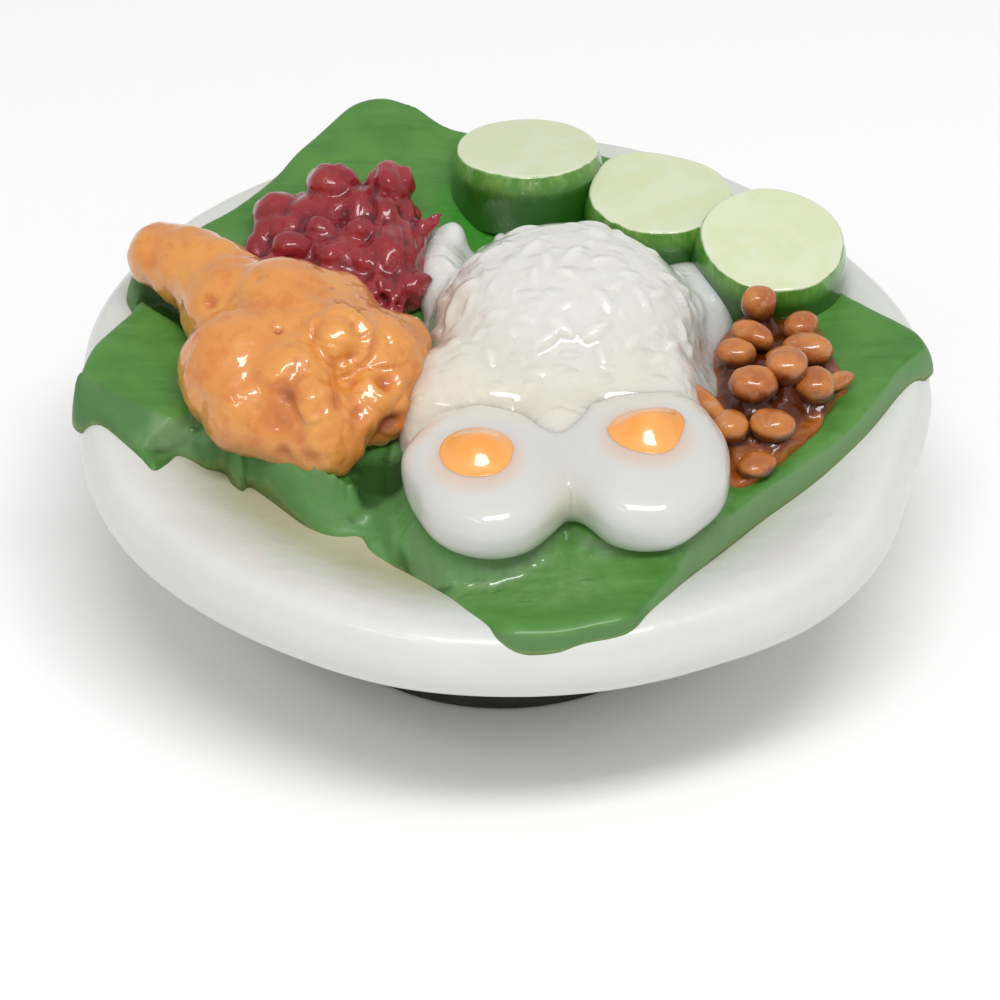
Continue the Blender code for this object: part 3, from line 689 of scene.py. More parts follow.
def leafPlane(x, y):
    # the leaf's upper face away from its edge
    look = leafLook
    points = np.stack([x, y], 1)
    z = blended(x, y, look["heights"], look["reach"])
    z = z + (look["seatHeight"] - z) * smooth(insideBy(points, eggSeat) + 0.75)
    z = z - look["neckDepth"] * smooth(insideBy(points, neckHollow) / 0.9 + 0.2)
    for line, steepness in look["slopes"]:
        beside, past = besideLine(points, line)
        if steepness > 1:                 # its torn edge stands up in front of the drumstick
            torn = look["tearLeast"] \
                + sum(height * np.sin(x * close + shift) for height, close, shift in look["ripples"])
            for at, width, height in look["teeth"]:
                torn = torn + height * np.exp(-((x - at) / width) ** 2)
            ridge = look["tearHeight"] * torn * np.exp(-(beside / look["tearWidth"]) ** 2)
            z = z + ridge * (1 - smooth(past / look["tearFade"]))
        fall = steepness * (beside + np.sqrt(beside ** 2 + 0.03)) / 2
        z = z - fall * (1 - smooth(past / look["slopeFade"]))
    z = z - look["foldDepth"] * np.exp(-(besideLine(points, look["fold"])[0] / look["foldWidth"]) ** 2)
    centre, spread, depth = look["pit"]
    z = z - depth * bell(x, y, centre, spread)
    over = dishTop(x, y) + look["overDish"]
    return 0.5 * (z + over + np.sqrt((z - over) ** 2 + 0.09))     # the higher one, blended


def leafFoot(x, y):
    # its lower edge follows the dish, and hangs where it reaches past the dish's crest
    past = smooth((np.hypot(x, y) / dishShare(np.arctan2(y, x)) - dishLook["crestRadius"]) / 1.6)
    lies = dishTop(x, y)
    hang = np.maximum(0, blended(x, y, leafLook["hang"], leafLook["hangReach"]) - lies)
    return lies + past * hang - leafLook["footSink"]


def leafTop(x, y):
    look = leafLook
    points = np.stack([x, y], 1)
    inner = np.maximum(insideBy(points, leafCurve), 0)
    width = look["edgeWidth"] + sum(extra * bell(x, y, centre, spread) for centre, spread, extra in look["widths"])
    for line, _ in look["slopes"]:
        beside, past = besideLine(points, line)
        narrow = (look["foldEdge"] - width) * smooth(beside / 0.8 + 0.5)
        width = width + narrow * (1 - smooth(past / look["slopeFade"]))
    t = np.clip(inner / width, 0, 1)
    power = look["edgeRound"]
    rise = (1 - (1 - t) ** power) ** (1 / power)
    foot = leafFoot(x, y)
    return foot + (leafPlane(x, y) - foot) * rise


def alongside(curve, offsets):
    step = np.roll(curve, -1, 0) - np.roll(curve, 1, 0)
    normal = np.stack([-step[:, 1], step[:, 0]], 1) / np.hypot(*step.T)[:, None]
    return [curve + normal * offset for offset in offsets]


def besideRows(line, offsets, spacing=0.2):
    # rows of points along a line, each so far to its right
    line = np.array(line)
    along = np.r_[0, np.cumsum(np.hypot(*np.diff(line, axis=0).T))]
    at = np.arange(0, along[-1], spacing)
    row = np.stack([np.interp(at, along, line[:, k]) for k in (0, 1)], 1)
    step = np.gradient(row, axis=0)
    right = np.stack([step[:, 1], -step[:, 0]], 1) / np.hypot(*step.T)[:, None]
    return np.concatenate([row + right * offset for offset in offsets])


def filled(curve, grid, rows, sparse=None, extra=()):
    # triangles over a plan outline: its own points, rows just inside it, a grid and extra points that displace it
    low, high = curve.min(0), curve.max(0)
    xs = np.arange(low[0], high[0], grid)
    ys = np.arange(low[1], high[1], grid * 0.866)
    inner = np.array([(x + (k % 2) * grid / 2, y) for k, y in enumerate(ys) for x in xs])
    inner = inner[insideBy(inner, curve) > (rows[-1] if rows else 0) + grid * 0.5]
    if sparse:                            # fewer points where the food hides it
        radius, every = sparse
        hidden = np.hypot(inner[:, 0], inner[:, 1]) < radius
        keep = (np.arange(len(inner)) * 7919) % 100 < every
        inner = inner[~hidden | keep]
    if len(extra):
        tree = kdtree.KDTree(len(extra))
        for k, point in enumerate(extra):
            tree.insert((*point, 0), k)
        tree.balance()
        inner = inner[[tree.find((*point, 0))[2] > grid * 0.6 for point in inner]]
    lines = [curve]
    for row, moved in zip(rows, alongside(curve, rows)):
        lines.append(moved[insideBy(moved, curve) > row * 0.85])
    points = [Vector(p) for p in np.concatenate(lines + [inner] + ([extra] if len(extra) else []))]
    flat, _, faces, origins, _, _ = delaunay_2d_cdt(points, [], [list(range(len(curve)))], 1, 1e-6)
    edge = np.array([min(o) < len(curve) if o else False for o in origins])
    return np.array([tuple(p) for p in flat]), faces, edge


def leafMesh():
    look = leafLook
    hidden = look["hiddenRadius"]
    wall = alongside(evenly(eggSeat, 0.22), look["seatRows"])
    wall += [besideRows(line, look["slopeRows"]) for line, _ in look["slopes"]]
    wall = np.concatenate(wall)
    wall = wall[(insideBy(wall, leafCurve) > 1.1) & (np.hypot(wall[:, 0], wall[:, 1]) > hidden)]
    top, topFaces, topEdge = filled(leafCurve, look["fine"], look["edgeRows"], (hidden, look["hiddenShare"]), wall)
    under, underFaces, underEdge = filled(leafCurve, look["coarse"], ())
    topFoot, underFoot = leafFoot(*top.T), leafFoot(*under.T)
    topZ = np.where(topEdge, topFoot, leafTop(*top.T))
    underZ = np.where(underEdge, underFoot, underFoot - 0.2)
    coords = np.concatenate([np.column_stack([top, topZ]), np.column_stack([under, underZ])])
    faces = [tuple(f) for f in topFaces] + [tuple(i + len(top) for i in reversed(f)) for f in underFaces]
    inner = np.maximum(insideBy(coords[:, :2], leafCurve), 0)
    holder = newObject("leaf", newMesh("leaf", coords, faces, inward=inner))
    weld = holder.modifiers.new("weld", "WELD")
    weld.merge_threshold = 1e-4
    mesh = settled(holder)
    coords = coordsOf(mesh)
    seat = insideBy(coords[:, :2], eggSeat)
    # how far out from the eggs' seat, for the wall's colours and the painted shadow at its foot
    setAttribute(mesh, "seatWall", -seat)
    (out, spread), place, above, passes = look["eased"]
    eased = np.exp(-((seat + out) / spread) ** 2)
    eased = np.maximum(eased, bell(coords[:, 0], coords[:, 1], *place)) * (coords[:, 2] > above)
    coords[:, 2] += (relaxed(mesh, coords[:, 2], passes)[:, 0] - coords[:, 2]) * eased
    setCoords(mesh, coords)
    addHollow(mesh, *look["hollow"])
    # the band past the fold lines, kept for painted shade on its slope
    slope = 0.0
    for line, _ in look["slopes"]:
        beside, past = besideLine(coords[:, :2], line)
        slope = np.maximum(slope, smooth(beside / 0.5 + 0.4) * smooth(1 - beside / 6) * (1 - smooth(past / 0.8)))
    setAttribute(mesh, "slope", slope)
    return mesh


def leafFinish():
    look = leafLook
    f = Finish("paintedLeaf", look, Roughness=0.5, Coat_Roughness=0.05, IOR=1.45)
    x, y, _ = f.spot
    cloud = f.noise(0.22, 3.0)
    strokes = [f.noise(0.7, 3.0, 0.5, turn=(0, 0, math.radians(turn)), stretch=(0.22, 1.3, 1), shift=shift)
               for turn, shift in look["brushes"]]
    right = f.step(x, -4.0, 6.0)
    brush = strokes[0] * (1 - right) + strokes[1] * right
    facing = f.parts(f.add("ShaderNodeNewGeometry", out="Normal"))[2]
    # steep faces and the slope band take the side colours: the cut side's own grey-green, darkened there as painted
    # shade
    side = f.maths("MAXIMUM", f.step(facing, 0.82, 0.62), f.attribute("slope"))
    sides = f.layered("side", (f.step(x, -22.0, -17.0), "plane"),
                      (f.step(cloud + right * 0.22 - 0.08, 0.4, 0.6), "sidePale"),
                      (f.step(y, -25.0, -27.0) * 0.8, "side"))
    wall = f.attribute("seatWall") + (f.noise(0.6, 2.0) - 0.5) * 0.3
    wallLight = f.step(wall, -0.2, 0.2) * f.step(wall, 1.1, 0.8) * f.step(x, 3.5, 0.0)
    # a painted shadow line at the foot of the seat's wall, under the left egg
    wallFootShade = f.step(wall, 0.9, 1.15) * f.step(wall, 1.75, 1.25) * f.step(x, 1.0, -2.5)
    gap = f.away(look["gap"])
    # the nook by the drumstick: painted shade, dark green
    nook = f.away(look["nook"], along=1.3) + (f.noise(0.8, 3.0, 0.6, shift=(1, 5, 2)) - 0.5) * 2.2
    nook = f.step(nook, 2.8, 1.7)
    rim = f.step(f.attribute("inward") + f.noise(1.5, 2.0) * 0.12, 0.14, 0.07)
    wet = f.step(f.away(look["wet"], across=0.3), 3.3, 1.6) * (1 - side) + f.step(gap, 4.0, 2.5) * 0.5
    fanX, fanY = x - look["fan"][0], y - look["fan"][1]
    spoke = [f.maths("ARCTAN2", fanY, fanX) * 3.2, f.away(look["fan"]) * 0.16, 0.0]
    rays = f.noise(1.6, 3.0, 0.6, where=f.add("ShaderNodeCombineXYZ", values=spoke))
    scoop = f.step(f.away(look["scoop"], 0.16, 0.6), 3.4, 1.8) * (1 - side)
    colour = f.layered("green", (f.step(cloud, 0.3, 0.7), "bright"), (f.step(brush, 0.54, 0.74) * 0.35, "pale"),
                       (f.step(brush, 0.44, 0.28) * 0.28, "deep"), (side * 0.85, sides),
                       (wallLight * 0.5, "sidePale"), (wallFootShade * 0.6, "shade"),
                       (f.step(gap, 4.5, 2.8) * 0.92, "lush"),
                       (f.step(f.attribute("hollow"), 0.7, 2.4) * 0.6, "shade"), (nook * 0.9, "shade"),
                       # the flat by the drumstick is painted lighter: painted light
                       (f.step(f.away(look["flat"]), 3.4, 2.0) * 0.9, "plane"), (rim * 0.8, "rim"),
                       (scoop * (0.45 + f.step(rays, 0.30, 0.70) * 0.5), "pale"))
    bumps = f.noise(0.35, 2.0) + brush * 0.5 + rays * scoop * 0.25 + f.noise(1.0, 1.0) * wet \
        + (f.grains(0.9, 0.25) + f.grains(2.4, 0.25)) * wet * 5
    gloss = 0.22 * (1 - side) * (1 - nook) + wet * 0.75
    return f.wear(Base_Color=colour, Roughness=0.5 + nook * 0.45, Coat_Weight=gloss,
                  Normal=f.bump(bumps, look["bump"]))


finish("leaf_painted", leafMesh(), leafFinish(), "root", ["banana_leaf"])
print("leaf laid")


# fried drumstick

drumLook = {
    # rounded masses from the node's middle: (x, y, z), radii, turn and tip in degrees
    "masses": (((-8.4, 8.9, 0.1), (2.5, 2.4, 2.3), 0, 0), ((-6.4, 7.5, 0.2), 2.9, 0, 0),
               ((-4.5, 5.9, 0.0), 3.2, 0, 0),
               ((-2.7, 3.0, -0.4), 4.0, 0, 0), ((-2.2, -3.7, -0.5), 4.5, 0, 0), ((3.4, 1.3, -0.4), 4.0, 0, 0),
               ((6.8, -2.9, -0.5), 3.9, 0, 0), ((7.1, -6.3, -1.2), 2.7, 0, 0), ((3.6, -9.3, -1.5), 2.9, 0, 0),
               ((-1.7, -6.9, -1.1), 3.3, 0, 0), ((2.0, -1.5, -1.4), (7.0, 6.5, 5.6), 0, 0),
               ((0.6, 1.0, 0.6), 4.2, 0, 0), ((1.2, -6.5, 0.8), 3.0, 0, 0), ((6.1, -7.6, -0.6), 2.1, 0, 0),
               ((8.8, -0.6, -0.4), 2.2, 0, 0), ((-0.5, -2.8, 1.4), 2.5, 0, 0), ((1.1, -8.2, -1.4), 2.9, 0, 0),
               ((4.6, -3.7, 2.6), (2.4, 2.35, 2.1), 0, 0), ((2.9, -9.0, 1.1), (1.8, 1.75, 1.7), 0, 0)),
    "voxel": 0.20, "passes": 60, "swell": 0.25, "hollow": (14, 0.12), "bump": 0.12,
    # bumps, rings and pits: (x, y, z) from the node's middle, ring radius, width, height, and for a part ring
    # the side it keeps to
    "dabs": (((4.6, -5.9, 4.3), 0, 1.75, 0.26), ((4.6, -5.9, 4.3), 1.95, 0.32, -0.10),
             ((4.6, -5.9, 4.3), 2.45, 0.42, 0.20, (0.8, -0.3)), ((4.6, -5.9, 4.3), 2.45, 0.40, 0.12),
             ((2.85, -10.05, 2.95), 0, 1.5, 0.26), ((2.85, -10.05, 2.95), 2.1, 0.55, -0.24, (-0.9, 0.1)),
             ((2.85, -10.05, 2.95), 2.0, 0.40, 0.22, (0.5, -0.8)), ((0.75, -9.4, 2.1), 0, 1.05, -0.42),
             ((0.3, -10.4, 0.5), 0, 1.05, -0.45), ((4.5, -9.6, 1.8), 0, 0.7, -0.38),
             ((8.1, -8.6, -1.25), 0, 0.95, -1.0), ((7.9, -7.1, 1.65), 0, 0.62, -0.52),
             ((7.9, -7.1, 1.65), 1.2, 0.45, 0.22), ((5.5, -7.2, 1.65), 0, 0.5, -0.42),
             ((6.1, -9.5, 0.6), 0, 0.6, -0.50), ((7.1, -9.1, -2.0), 0, 0.6, -0.5),
             ((4.0, 0.5, 3.9), 0, 0.34, -0.34), ((0.6, -4.3, 3.7), 0, 0.36, -0.34),
             ((-4.5, 0.85, 2.3), 0, 0.5, -0.36), ((-1.15, 0.7, 4.6), 0, 0.4, -0.34),
             ((0.9, -11.1, -1.7), 0, 0.7, -0.40), ((2.7, -12.1, -1.35), 0, 0.7, -0.35),
             ((2.0, -11.5, 0.0), 0, 0.8, -0.26), ((-9.1, 6.6, 1.5), 0, 1.0, -0.20),
             ((-7.7, 5.4, 2.4), 0, 0.8, -0.18)),
    "bend": 0.35, "seed": 4, "waves": ((0.16, 0.45, (0, 0, 0)), (0.10, 1.0, (7, 1, 3)), (0.03, 2.6, (0, 0, 0))),
    "craggy": ((-9.5, -8.0), 5.5), "cragFold": 0.12, "cragWave": 0.20,     # the rough end: place and spread, heights
    "light": (0.74, 0.300, 0.050), "batter": (0.69, 0.245, 0.040), "warm": (0.60, 0.165, 0.020),
    # "low" is painted shade on the lower part
    "crust": (0.30, 0.060, 0.006), "low": (0.46, 0.20, 0.055),
}


def drumMesh():
    look = drumLook
    noise.seed_set(look["seed"])     # noise_vector draws its offsets from it
    middle = middleOf("chicken_drumstick")
    forms = [lump(middle + at, radii, turn, tip, 32, 20) for at, radii, turn, tip in look["masses"]]
    mesh = fused("drumstick", forms, look["voxel"], look["passes"])
    dabs = [(Vector(middle + at), *rest) for at, *rest in look["dabs"]]

    def dabbed(p):
        bent = p + look["bend"] * noise.noise_vector(p * 0.55)
        pushes = []
        for at, ring, width, height, *towards in dabs:
            away = bent - at
            kept = float(smooth(0.4 + 0.9 * Vector(*towards).dot(away.xy.normalized()))) if towards else 1.0
            pushes.append(height * kept * math.exp(-((away.length - ring) / width) ** 2))
        return pushes

    def skin(p):
        crag = float(smooth(bell(p.x, p.y, *look["craggy"]) * 1.4))
        folds = min(look["cragFold"], abs(noise.noise(p * 0.55 + Vector((3, 9, 1)))))
        push = look["swell"] + swells(p, look["waves"]) + crag * (folds + look["cragWave"] * noise.noise(p * 0.9))
        return push + sum(dabbed(p))

    setAttribute(mesh, "pit", [sum(max(0, -push) for push in dabbed(Vector(p))) for p in coordsOf(mesh)])
    roughen(mesh, skin)
    addHollow(mesh, *look["hollow"])
    return mesh


def batterFinish():
    f = Finish("friedBatter", drumLook, Roughness=0.45, Coat_Weight=1.0, Coat_Roughness=0.05, IOR=1.5)
    hollow, pit = f.attribute("hollow"), f.attribute("pit")
    patch = f.noise(0.6, 4.0, 0.6, shift=(4, 2, 7))
    burnt = f.step(pit + (f.noise(0.9, 3.0, shift=(1, 8, 3)) - 0.5) * 0.4, 0.28, 0.70)
    seared = f.step(hollow + (f.noise(1.2, 3.0) - 0.5) * 0.8, 0.7, 1.5)
    colour = f.layered("light", (f.step(f.noise(0.25, 3.0, 0.55), 0.35, 0.65), "batter"),
                       (f.step(patch, 0.48, 0.66) * 0.6, "warm"), (f.step(hollow, 0.15, 0.9) * 0.8, "warm"),
                       (f.step(pit, 0.05, 0.25) * 0.8, "warm"), (burnt * 0.85, "crust"), (seared * 0.85, "crust"),
                       # darker and duller towards the bottom: painted shade
                       (f.step(f.spot[2] + patch * 1.5, 23.6, 20.8) * 0.5, "low"))
    bumps = f.noise(0.7, 3.0) + f.noise(2.4, 3.0) * 0.25
    return f.wear(Base_Color=colour, Normal=f.bump(bumps, drumLook["bump"]))


finish("drumstick_fried", drumMesh(), batterFinish(), "root", ["chicken_drumstick"])
print("drumstick fried")


# sambal

sambalLook = {
    "core": (((-0.2, -0.2, -2.2), (6.2, 6.6, 3.6)), ((-3.2, -2.0, -1.6), (3.4, 3.0, 2.4)),
             ((3.0, -2.8, -1.8), (3.2, 4.2, 2.6)), ((2.4, 2.6, -1.4), (3.0, 3.0, 2.7)),
             ((-2.6, 2.6, -1.6), (3.4, 3.0, 2.6)), ((0.6, 2.2, -0.4), (5.0, 3.2, 2.3)),
             ((-3.6, 0.8, -0.6), (3.2, 2.8, 2.2)), ((3.4, -1.6, -0.8), (2.6, 4.0, 2.5))),
    # lumps: (x, y, z) of the crown from the node's middle, radii, turn in degrees
    "lumps": (((-0.9, 3.7, 3.1), (1.9, 1.8, 1.8), 0), ((3.3, 3.9, 2.9), (1.8, 1.7, 1.7), 0),
              ((-4.8, 2.1, 1.5), (2.0, 1.8, 1.7), 20), ((-2.5, 1.6, 1.7), (1.3, 1.8, 1.3), -15),
              ((1.3, 2.2, 2.0), (1.7, 1.1, 1.2), 12), ((2.9, 0.8, 2.0), (1.1, 1.9, 1.2), 10),
              ((1.2, -1.1, 2.1), (1.35, 1.1, 1.2), 0), ((-1.5, -1.2, 1.9), (1.5, 1.1, 1.1), -20),
              ((-0.9, -3.3, 1.5), (1.3, 1.2, 1.2), 10), ((-3.6, -2.4, 1.5), (1.5, 1.3, 1.2), 30),
              ((1.6, -3.6, 1.1), (1.2, 1.3, 1.1), 0), ((4.4, -1.9, 1.0), (0.9, 2.3, 1.4), 14),
              ((5.2, -5.1, 0.1), (1.0, 1.2, 0.9), 0), ((3.5, -6.8, -0.4), (1.2, 1.1, 1.2), 0),
              ((2.8, -6.0, 0.4), (1.2, 1.3, 1.2), 0), ((-5.9, -0.7, 0.0), (1.4, 1.8, 1.3), 0),
              ((-5.6, -4.0, 0.4), (1.9, 1.6, 1.5), 0), ((4.5, 2.0, 0.6), (1.1, 1.5, 1.2), 0),
              ((5.0, 0.4, 0.4), (1.0, 1.3, 0.9), 0)),
    "fingers": (((5.6, 0.8, 0.2), (1.6, 0.65, 0.55), 14), ((6.5, 1.2, 0.5), (0.8, 0.38, 0.36), 26),
                ((5.7, -4.6, -0.6), (0.8, 0.7, 0.6), 0)),
    # pits: (x, y, z) from the node's middle, radius, height
    "dabs": (((3.1, -7.1, -0.6), 0.5, -0.9), ((4.3, -7.2, -0.8), 0.45, -0.8), ((4.0, 0.8, 1.0), 0.5, -0.5),
             ((-3.3, -4.6, 0.6), 0.5, -0.4), ((0.1, 0.6, 1.6), 0.5, -0.5), ((-4.3, 0.6, 1.4), 0.5, -0.4)),
    "voxel": 0.15, "passes": 7, "hollow": (18, 0.14), "bump": 0.26, "strands": 0.16, "folds": 0.5,
    "waves": ((0.26, 0.55, (0, 0, 0)), (0.06, 1.3, (0, 0, 0))),
    # "dark" is painted shade in the hollows; "light" is also laid on the ridges as painted light
    "red": (0.245, 0.012, 0.019), "light": (0.32, 0.026, 0.032), "dark": (0.080, 0.003, 0.007),
}


def sambalMesh():
    look = sambalLook
    middle = middleOf("sambal")
    forms = [lump(middle + at, radii, 0, 0, 32, 20) for at, radii in look["core"]]
    for at, radii, turn in look["lumps"]:
        forms.append(lump(middle + at - (0, 0, radii[2] * 0.85), radii, turn, 0, 28, 18))
    forms += [lump(middle + at, radii, turn, 0, 20, 12) for at, radii, turn in look["fingers"]]
    mesh = fused("sambal", forms, look["voxel"], look["passes"])
    dabs = [(Vector(middle + at), radius, height) for at, radius, height in look["dabs"]]

    def skin(p):
        right = float(smooth((p.x - middle[0]) / 4 + 0.3))
        strands = noise.noise(Vector((p.x * 2.2, p.y * 0.7 + p.x * 0.5, p.z * 0.7)))
        folds = math.hypot(noise.noise(p * 0.42 + Vector((5, 2, 9))), 0.08) - 0.3
        push = swells(p, look["waves"]) + right * look["strands"] * strands + look["folds"] * folds
        return push + sum(height * math.exp(-((p - at).length / radius) ** 2) for at, radius, height in dabs)

    roughen(mesh, skin)
    addHollow(mesh, *look["hollow"])
    return mesh


def sambalFinish():
    f = Finish("sambalPaste", sambalLook, Roughness=0.35, Specular_IOR_Level=0.2, Coat_Weight=1.0,
               Coat_Roughness=0.05, Coat_IOR=1.4, IOR=1.5)
    hollow = f.attribute("hollow")
    flow = f.noise(0.9, 3.0, 0.6, stretch=(1.6, 0.5, 0.5), shift=(2, 2, 2))
    colour = f.layered("red", (f.step(f.noise(0.4, 3.0), 0.35, 0.7), "light"),
                       # darker in its hollows, with dark streaks: painted shade; lighter on its ridges: painted light
                       (f.step(hollow + (flow - 0.5) * 2.4, -0.15, 1.0) * 0.95, "dark"),
                       (f.step(hollow, -0.6, -1.6) * 0.35, "light"))
    return f.wear(Base_Color=colour, Normal=f.bump(f.noise(1.0, 2.0), sambalLook["bump"]))


finish("sambal_heap", sambalMesh(), sambalFinish(), "root", ["sambal"])
print("sambal heaped")


# rice

riceLook = {
    # the mound: plan centre, radius, how full its dome is, and how far below the node's top the core stops
    "centre": (4.6, 1.2), "radius": 9.9, "fullness": 2.3, "coreBelow": 0.35,
    # the rice round it: height, how square its edge is, and how widely it blends into the mound
    "skirt": 1.0, "skirtEdge": 6, "blend": 1.6, "bed": 19.9, "underside": 19.0,
    "outline": ((15.6, 1.4), (16.9, 4.6), (15.4, 8.0), (10.4, 10.6), (4.6, 11.6), (-1.6, 12.6),
                (-4.0, 12.0), (-4.8, 8.0), (-6.4, 2.0), (-7.4, -5.4), (-6.6, -11.4), (-2.0, -15.4), (4.4, -16.8),
                (10.0, -15.0), (15.0, -11.4), (16.0, -4.0)),
    # loose lobes round the mound: middle, radii
    "lobes": (((-4.5, 12.5, 21.0), (1.1, 1.4, 1.4)), ((-3.5, 12.5, 21.6), (1.1, 1.4, 1.5)),
              ((-4.2, 12.2, 20.4), (1.9, 1.9, 1.6)), ((13.6, 6.9, 20.2), (3.8, 3.6, 2.4)),
              ((-4.4, 8.4, 20.8), (2.0, 4.4, 2.2)), ((4.3, -11.0, 20.4), (4.4, 5.6, 4.8))),
    # what runs up to the eggs: height, unevenness, and where it ends at the back, the right and the front,
    # (place, over how much)
    "apron": 4.35, "unevenness": 0.25, "apronEnds": ((1.0, 6), (16.5, 5), (-12.6, 4)),
    # the grains: spacing, half sizes, range of their scale, and where they lie
    "spacing": 1.65, "density": 2.2, "grain": (1.25, 0.50, 0.50), "size": (0.7, 1.15), "sink": 0.23, "tilt": 0.25,
    "seed": 4, "grainsReach": 9.8, "grainsAbove": 20.4,
    "coreVoxel": 0.35, "corePasses": 14, "voxel": 0.15, "passes": 6, "hollow": (12, 0.10), "bump": 0.25,
    "milk": (0.715, 0.71, 0.665), "cream": (0.71, 0.635, 0.52), "grey": (0.62, 0.66, 0.65),
}


def grainTree():
    # grains set over a core, part sunk in it, each turned and sized at random
    b = Build("riceGrains", Spacing=("Float", 1.0), Density=("Float", 4.0), SizeMin=("Float", 0.8),
              SizeMax=("Float", 1.2), Length=("Float", 1.0), Width=("Float", 1.0), Thick=("Float", 1.0),
              Sink=("Float", 0.2), Tilt=("Float", 0.3), Seed=("Int", 1))
    core = b.given("Geometry")
    cover = b.add("GeometryNodeInputNamedAttribute", {"data_type": "FLOAT"}, {"Name": "cover"})
    points = b.add("GeometryNodeDistributePointsOnFaces", {"distribute_method": "POISSON"},
                   {"Mesh": core, "Distance Min": b.given("Spacing"), "Density Max": b.given("Density"),
                    "Density Factor": cover, "Seed": b.given("Seed")})
    outputs = points.socket.node.outputs
    normal, upright = Link(b, outputs["Normal"]), Link(b, outputs["Rotation"])
    tilt, sink = b.given("Tilt"), b.given("Sink")
    low = b.add("ShaderNodeCombineXYZ", values=[-tilt, -tilt, -math.pi])
    high = b.add("ShaderNodeCombineXYZ", values=[tilt, tilt, math.pi])
    spin = b.add("FunctionNodeRandomValue", {"data_type": "FLOAT_VECTOR"}, {0: low, 1: high, "Seed": 3})
    turn = b.add("FunctionNodeRotateRotation", {"rotation_space": "LOCAL"}, {"Rotation": upright, "Rotate By": spin})
    size = b.add("FunctionNodeRandomValue", {"data_type": "FLOAT"},
                 {2: b.given("SizeMin"), 3: b.given("SizeMax"), "Seed": 5}, out=1)
    sunk = b.add("ShaderNodeVectorMath", {"operation": "SCALE"}, {"Vector": normal, "Scale": -sink})
    seated = b.add("GeometryNodeSetPosition", None, {"Geometry": points, "Offset": sunk})
    ball = b.add("GeometryNodeMeshIcoSphere", None, {"Radius": 1.0, "Subdivisions": 3})
    shape = b.add("ShaderNodeCombineXYZ", values=[b.given("Length"), b.given("Width"), b.given("Thick")])
    grain = b.add("GeometryNodeTransform", None, {"Geometry": ball, "Scale": shape})
    placed = b.add("GeometryNodeInstanceOnPoints", None,
                   {"Points": seated, "Instance": grain, "Rotation": turn, "Scale": size})
    return b.end(b.add("GeometryNodeJoinGeometry", None, {"Geometry": [core, placed]}))


def riceMesh(material):
    look = riceLook
    top, bed = boxOf("rice")[1][2], look["bed"]
    cx, cy = look["centre"]

    def surface(x, y, share):
        uneven = np.sin(x * 0.9 + 1.2 * np.sin(y * 0.5)) * np.sin(y * 1.1 + x * 0.3)
        (back, backOver), (right, rightOver), (front, frontOver) = look["apronEnds"]
        apron = smooth((back - y) / backOver) * smooth((right - x) / rightOver) * smooth((y - front) / frontOver)
        apron = (look["apron"] + look["unevenness"] * uneven) * apron
        skirt = (look["skirt"] + apron) * np.sqrt(np.maximum(0, 1 - share ** look["skirtEdge"]))
        d = np.hypot(x - cx, y - cy) / look["radius"]
        mound = (top - look["coreBelow"] - bed) * np.sqrt(np.maximum(0, 1 - d ** look["fullness"]))
        blend = look["blend"] * smooth((1.0 - share) * 4)
        return bed + (skirt + mound + np.sqrt((skirt - mound) ** 2 + blend ** 2)) / 2

    def underside(x, y):
        return np.full(np.shape(x), look["underside"])

    forms = [slabForm(look["outline"], surface, underside, 128, 80, (cx, cy), 0.06)]
    forms += [lump(at, radii, spokes=32, rings=20) for at, radii in look["lobes"]]
    core = fused("riceCore", forms, look["coreVoxel"], look["corePasses"])
    (x, y, z), up = coordsOf(core).T, normalsOf(core)[:, 2]
    near = np.where(np.hypot(x - cx, y - cy) < look["grainsReach"], 1.0, 0.1)
    front, back = smooth((-y - 5.0) / 5.0), smooth((y - 2.0) / 6.0)      # fewer grains there
    cover = (z > look["grainsAbove"]) * (1 - 0.9 * front) * near * smooth(up * 1.6) * (1 - 0.65 * back)
    setAttribute(core, "cover", cover)
    holder = grainTree().on(newObject("rice", core), Material=material, Spacing=look["spacing"],
                            Density=look["density"], SizeMin=look["size"][0], SizeMax=look["size"][1],
                            Length=look["grain"][0], Width=look["grain"][1], Thick=look["grain"][2],
                            Sink=look["sink"], Tilt=look["tilt"], Seed=look["seed"])
    mesh = skinned(holder, look["voxel"], look["passes"])
    addHollow(mesh, *look["hollow"])
    return mesh


def riceFinish():
    f = Finish("milkyRice", riceLook, Roughness=0.35, Specular_IOR_Level=0.2, Coat_Weight=1.0, Coat_Roughness=0.05,
               IOR=1.5, Subsurface_Weight=0.8, Subsurface_Radius=(1.0, 0.87, 0.7), Subsurface_Scale=2.2 * mm)
    x, y, z = f.spot
    low = f.step(z + f.noise(0.16, 3.0) * 3.0, 29.0, 24.5) * f.step(y, 7.0, 0.0) * f.step(x, 16.0, 8.0)
    far = f.step(x, 11.0, 16.0) * 0.5 + f.step(y, 8.0, 13.0) * 0.4
    colour = f.layered("milk", (low * 0.85, "cream"), (far, "grey"),
                       (f.step(f.attribute("hollow"), 0.2, 1.8) * 0.25, "cream"))
    bumps = f.noise(1.0, 1.0) * 0.8 + (f.grains(0.5, 0.34) + f.grains(2.1, 0.34)) * 3.2
    return f.wear(Base_Color=colour, Normal=f.bump(bumps, riceLook["bump"]))


milky = riceFinish()
finish("rice_mound", riceMesh(milky), milky, "root", ["rice"])
print("rice mounded")


# cucumber slices

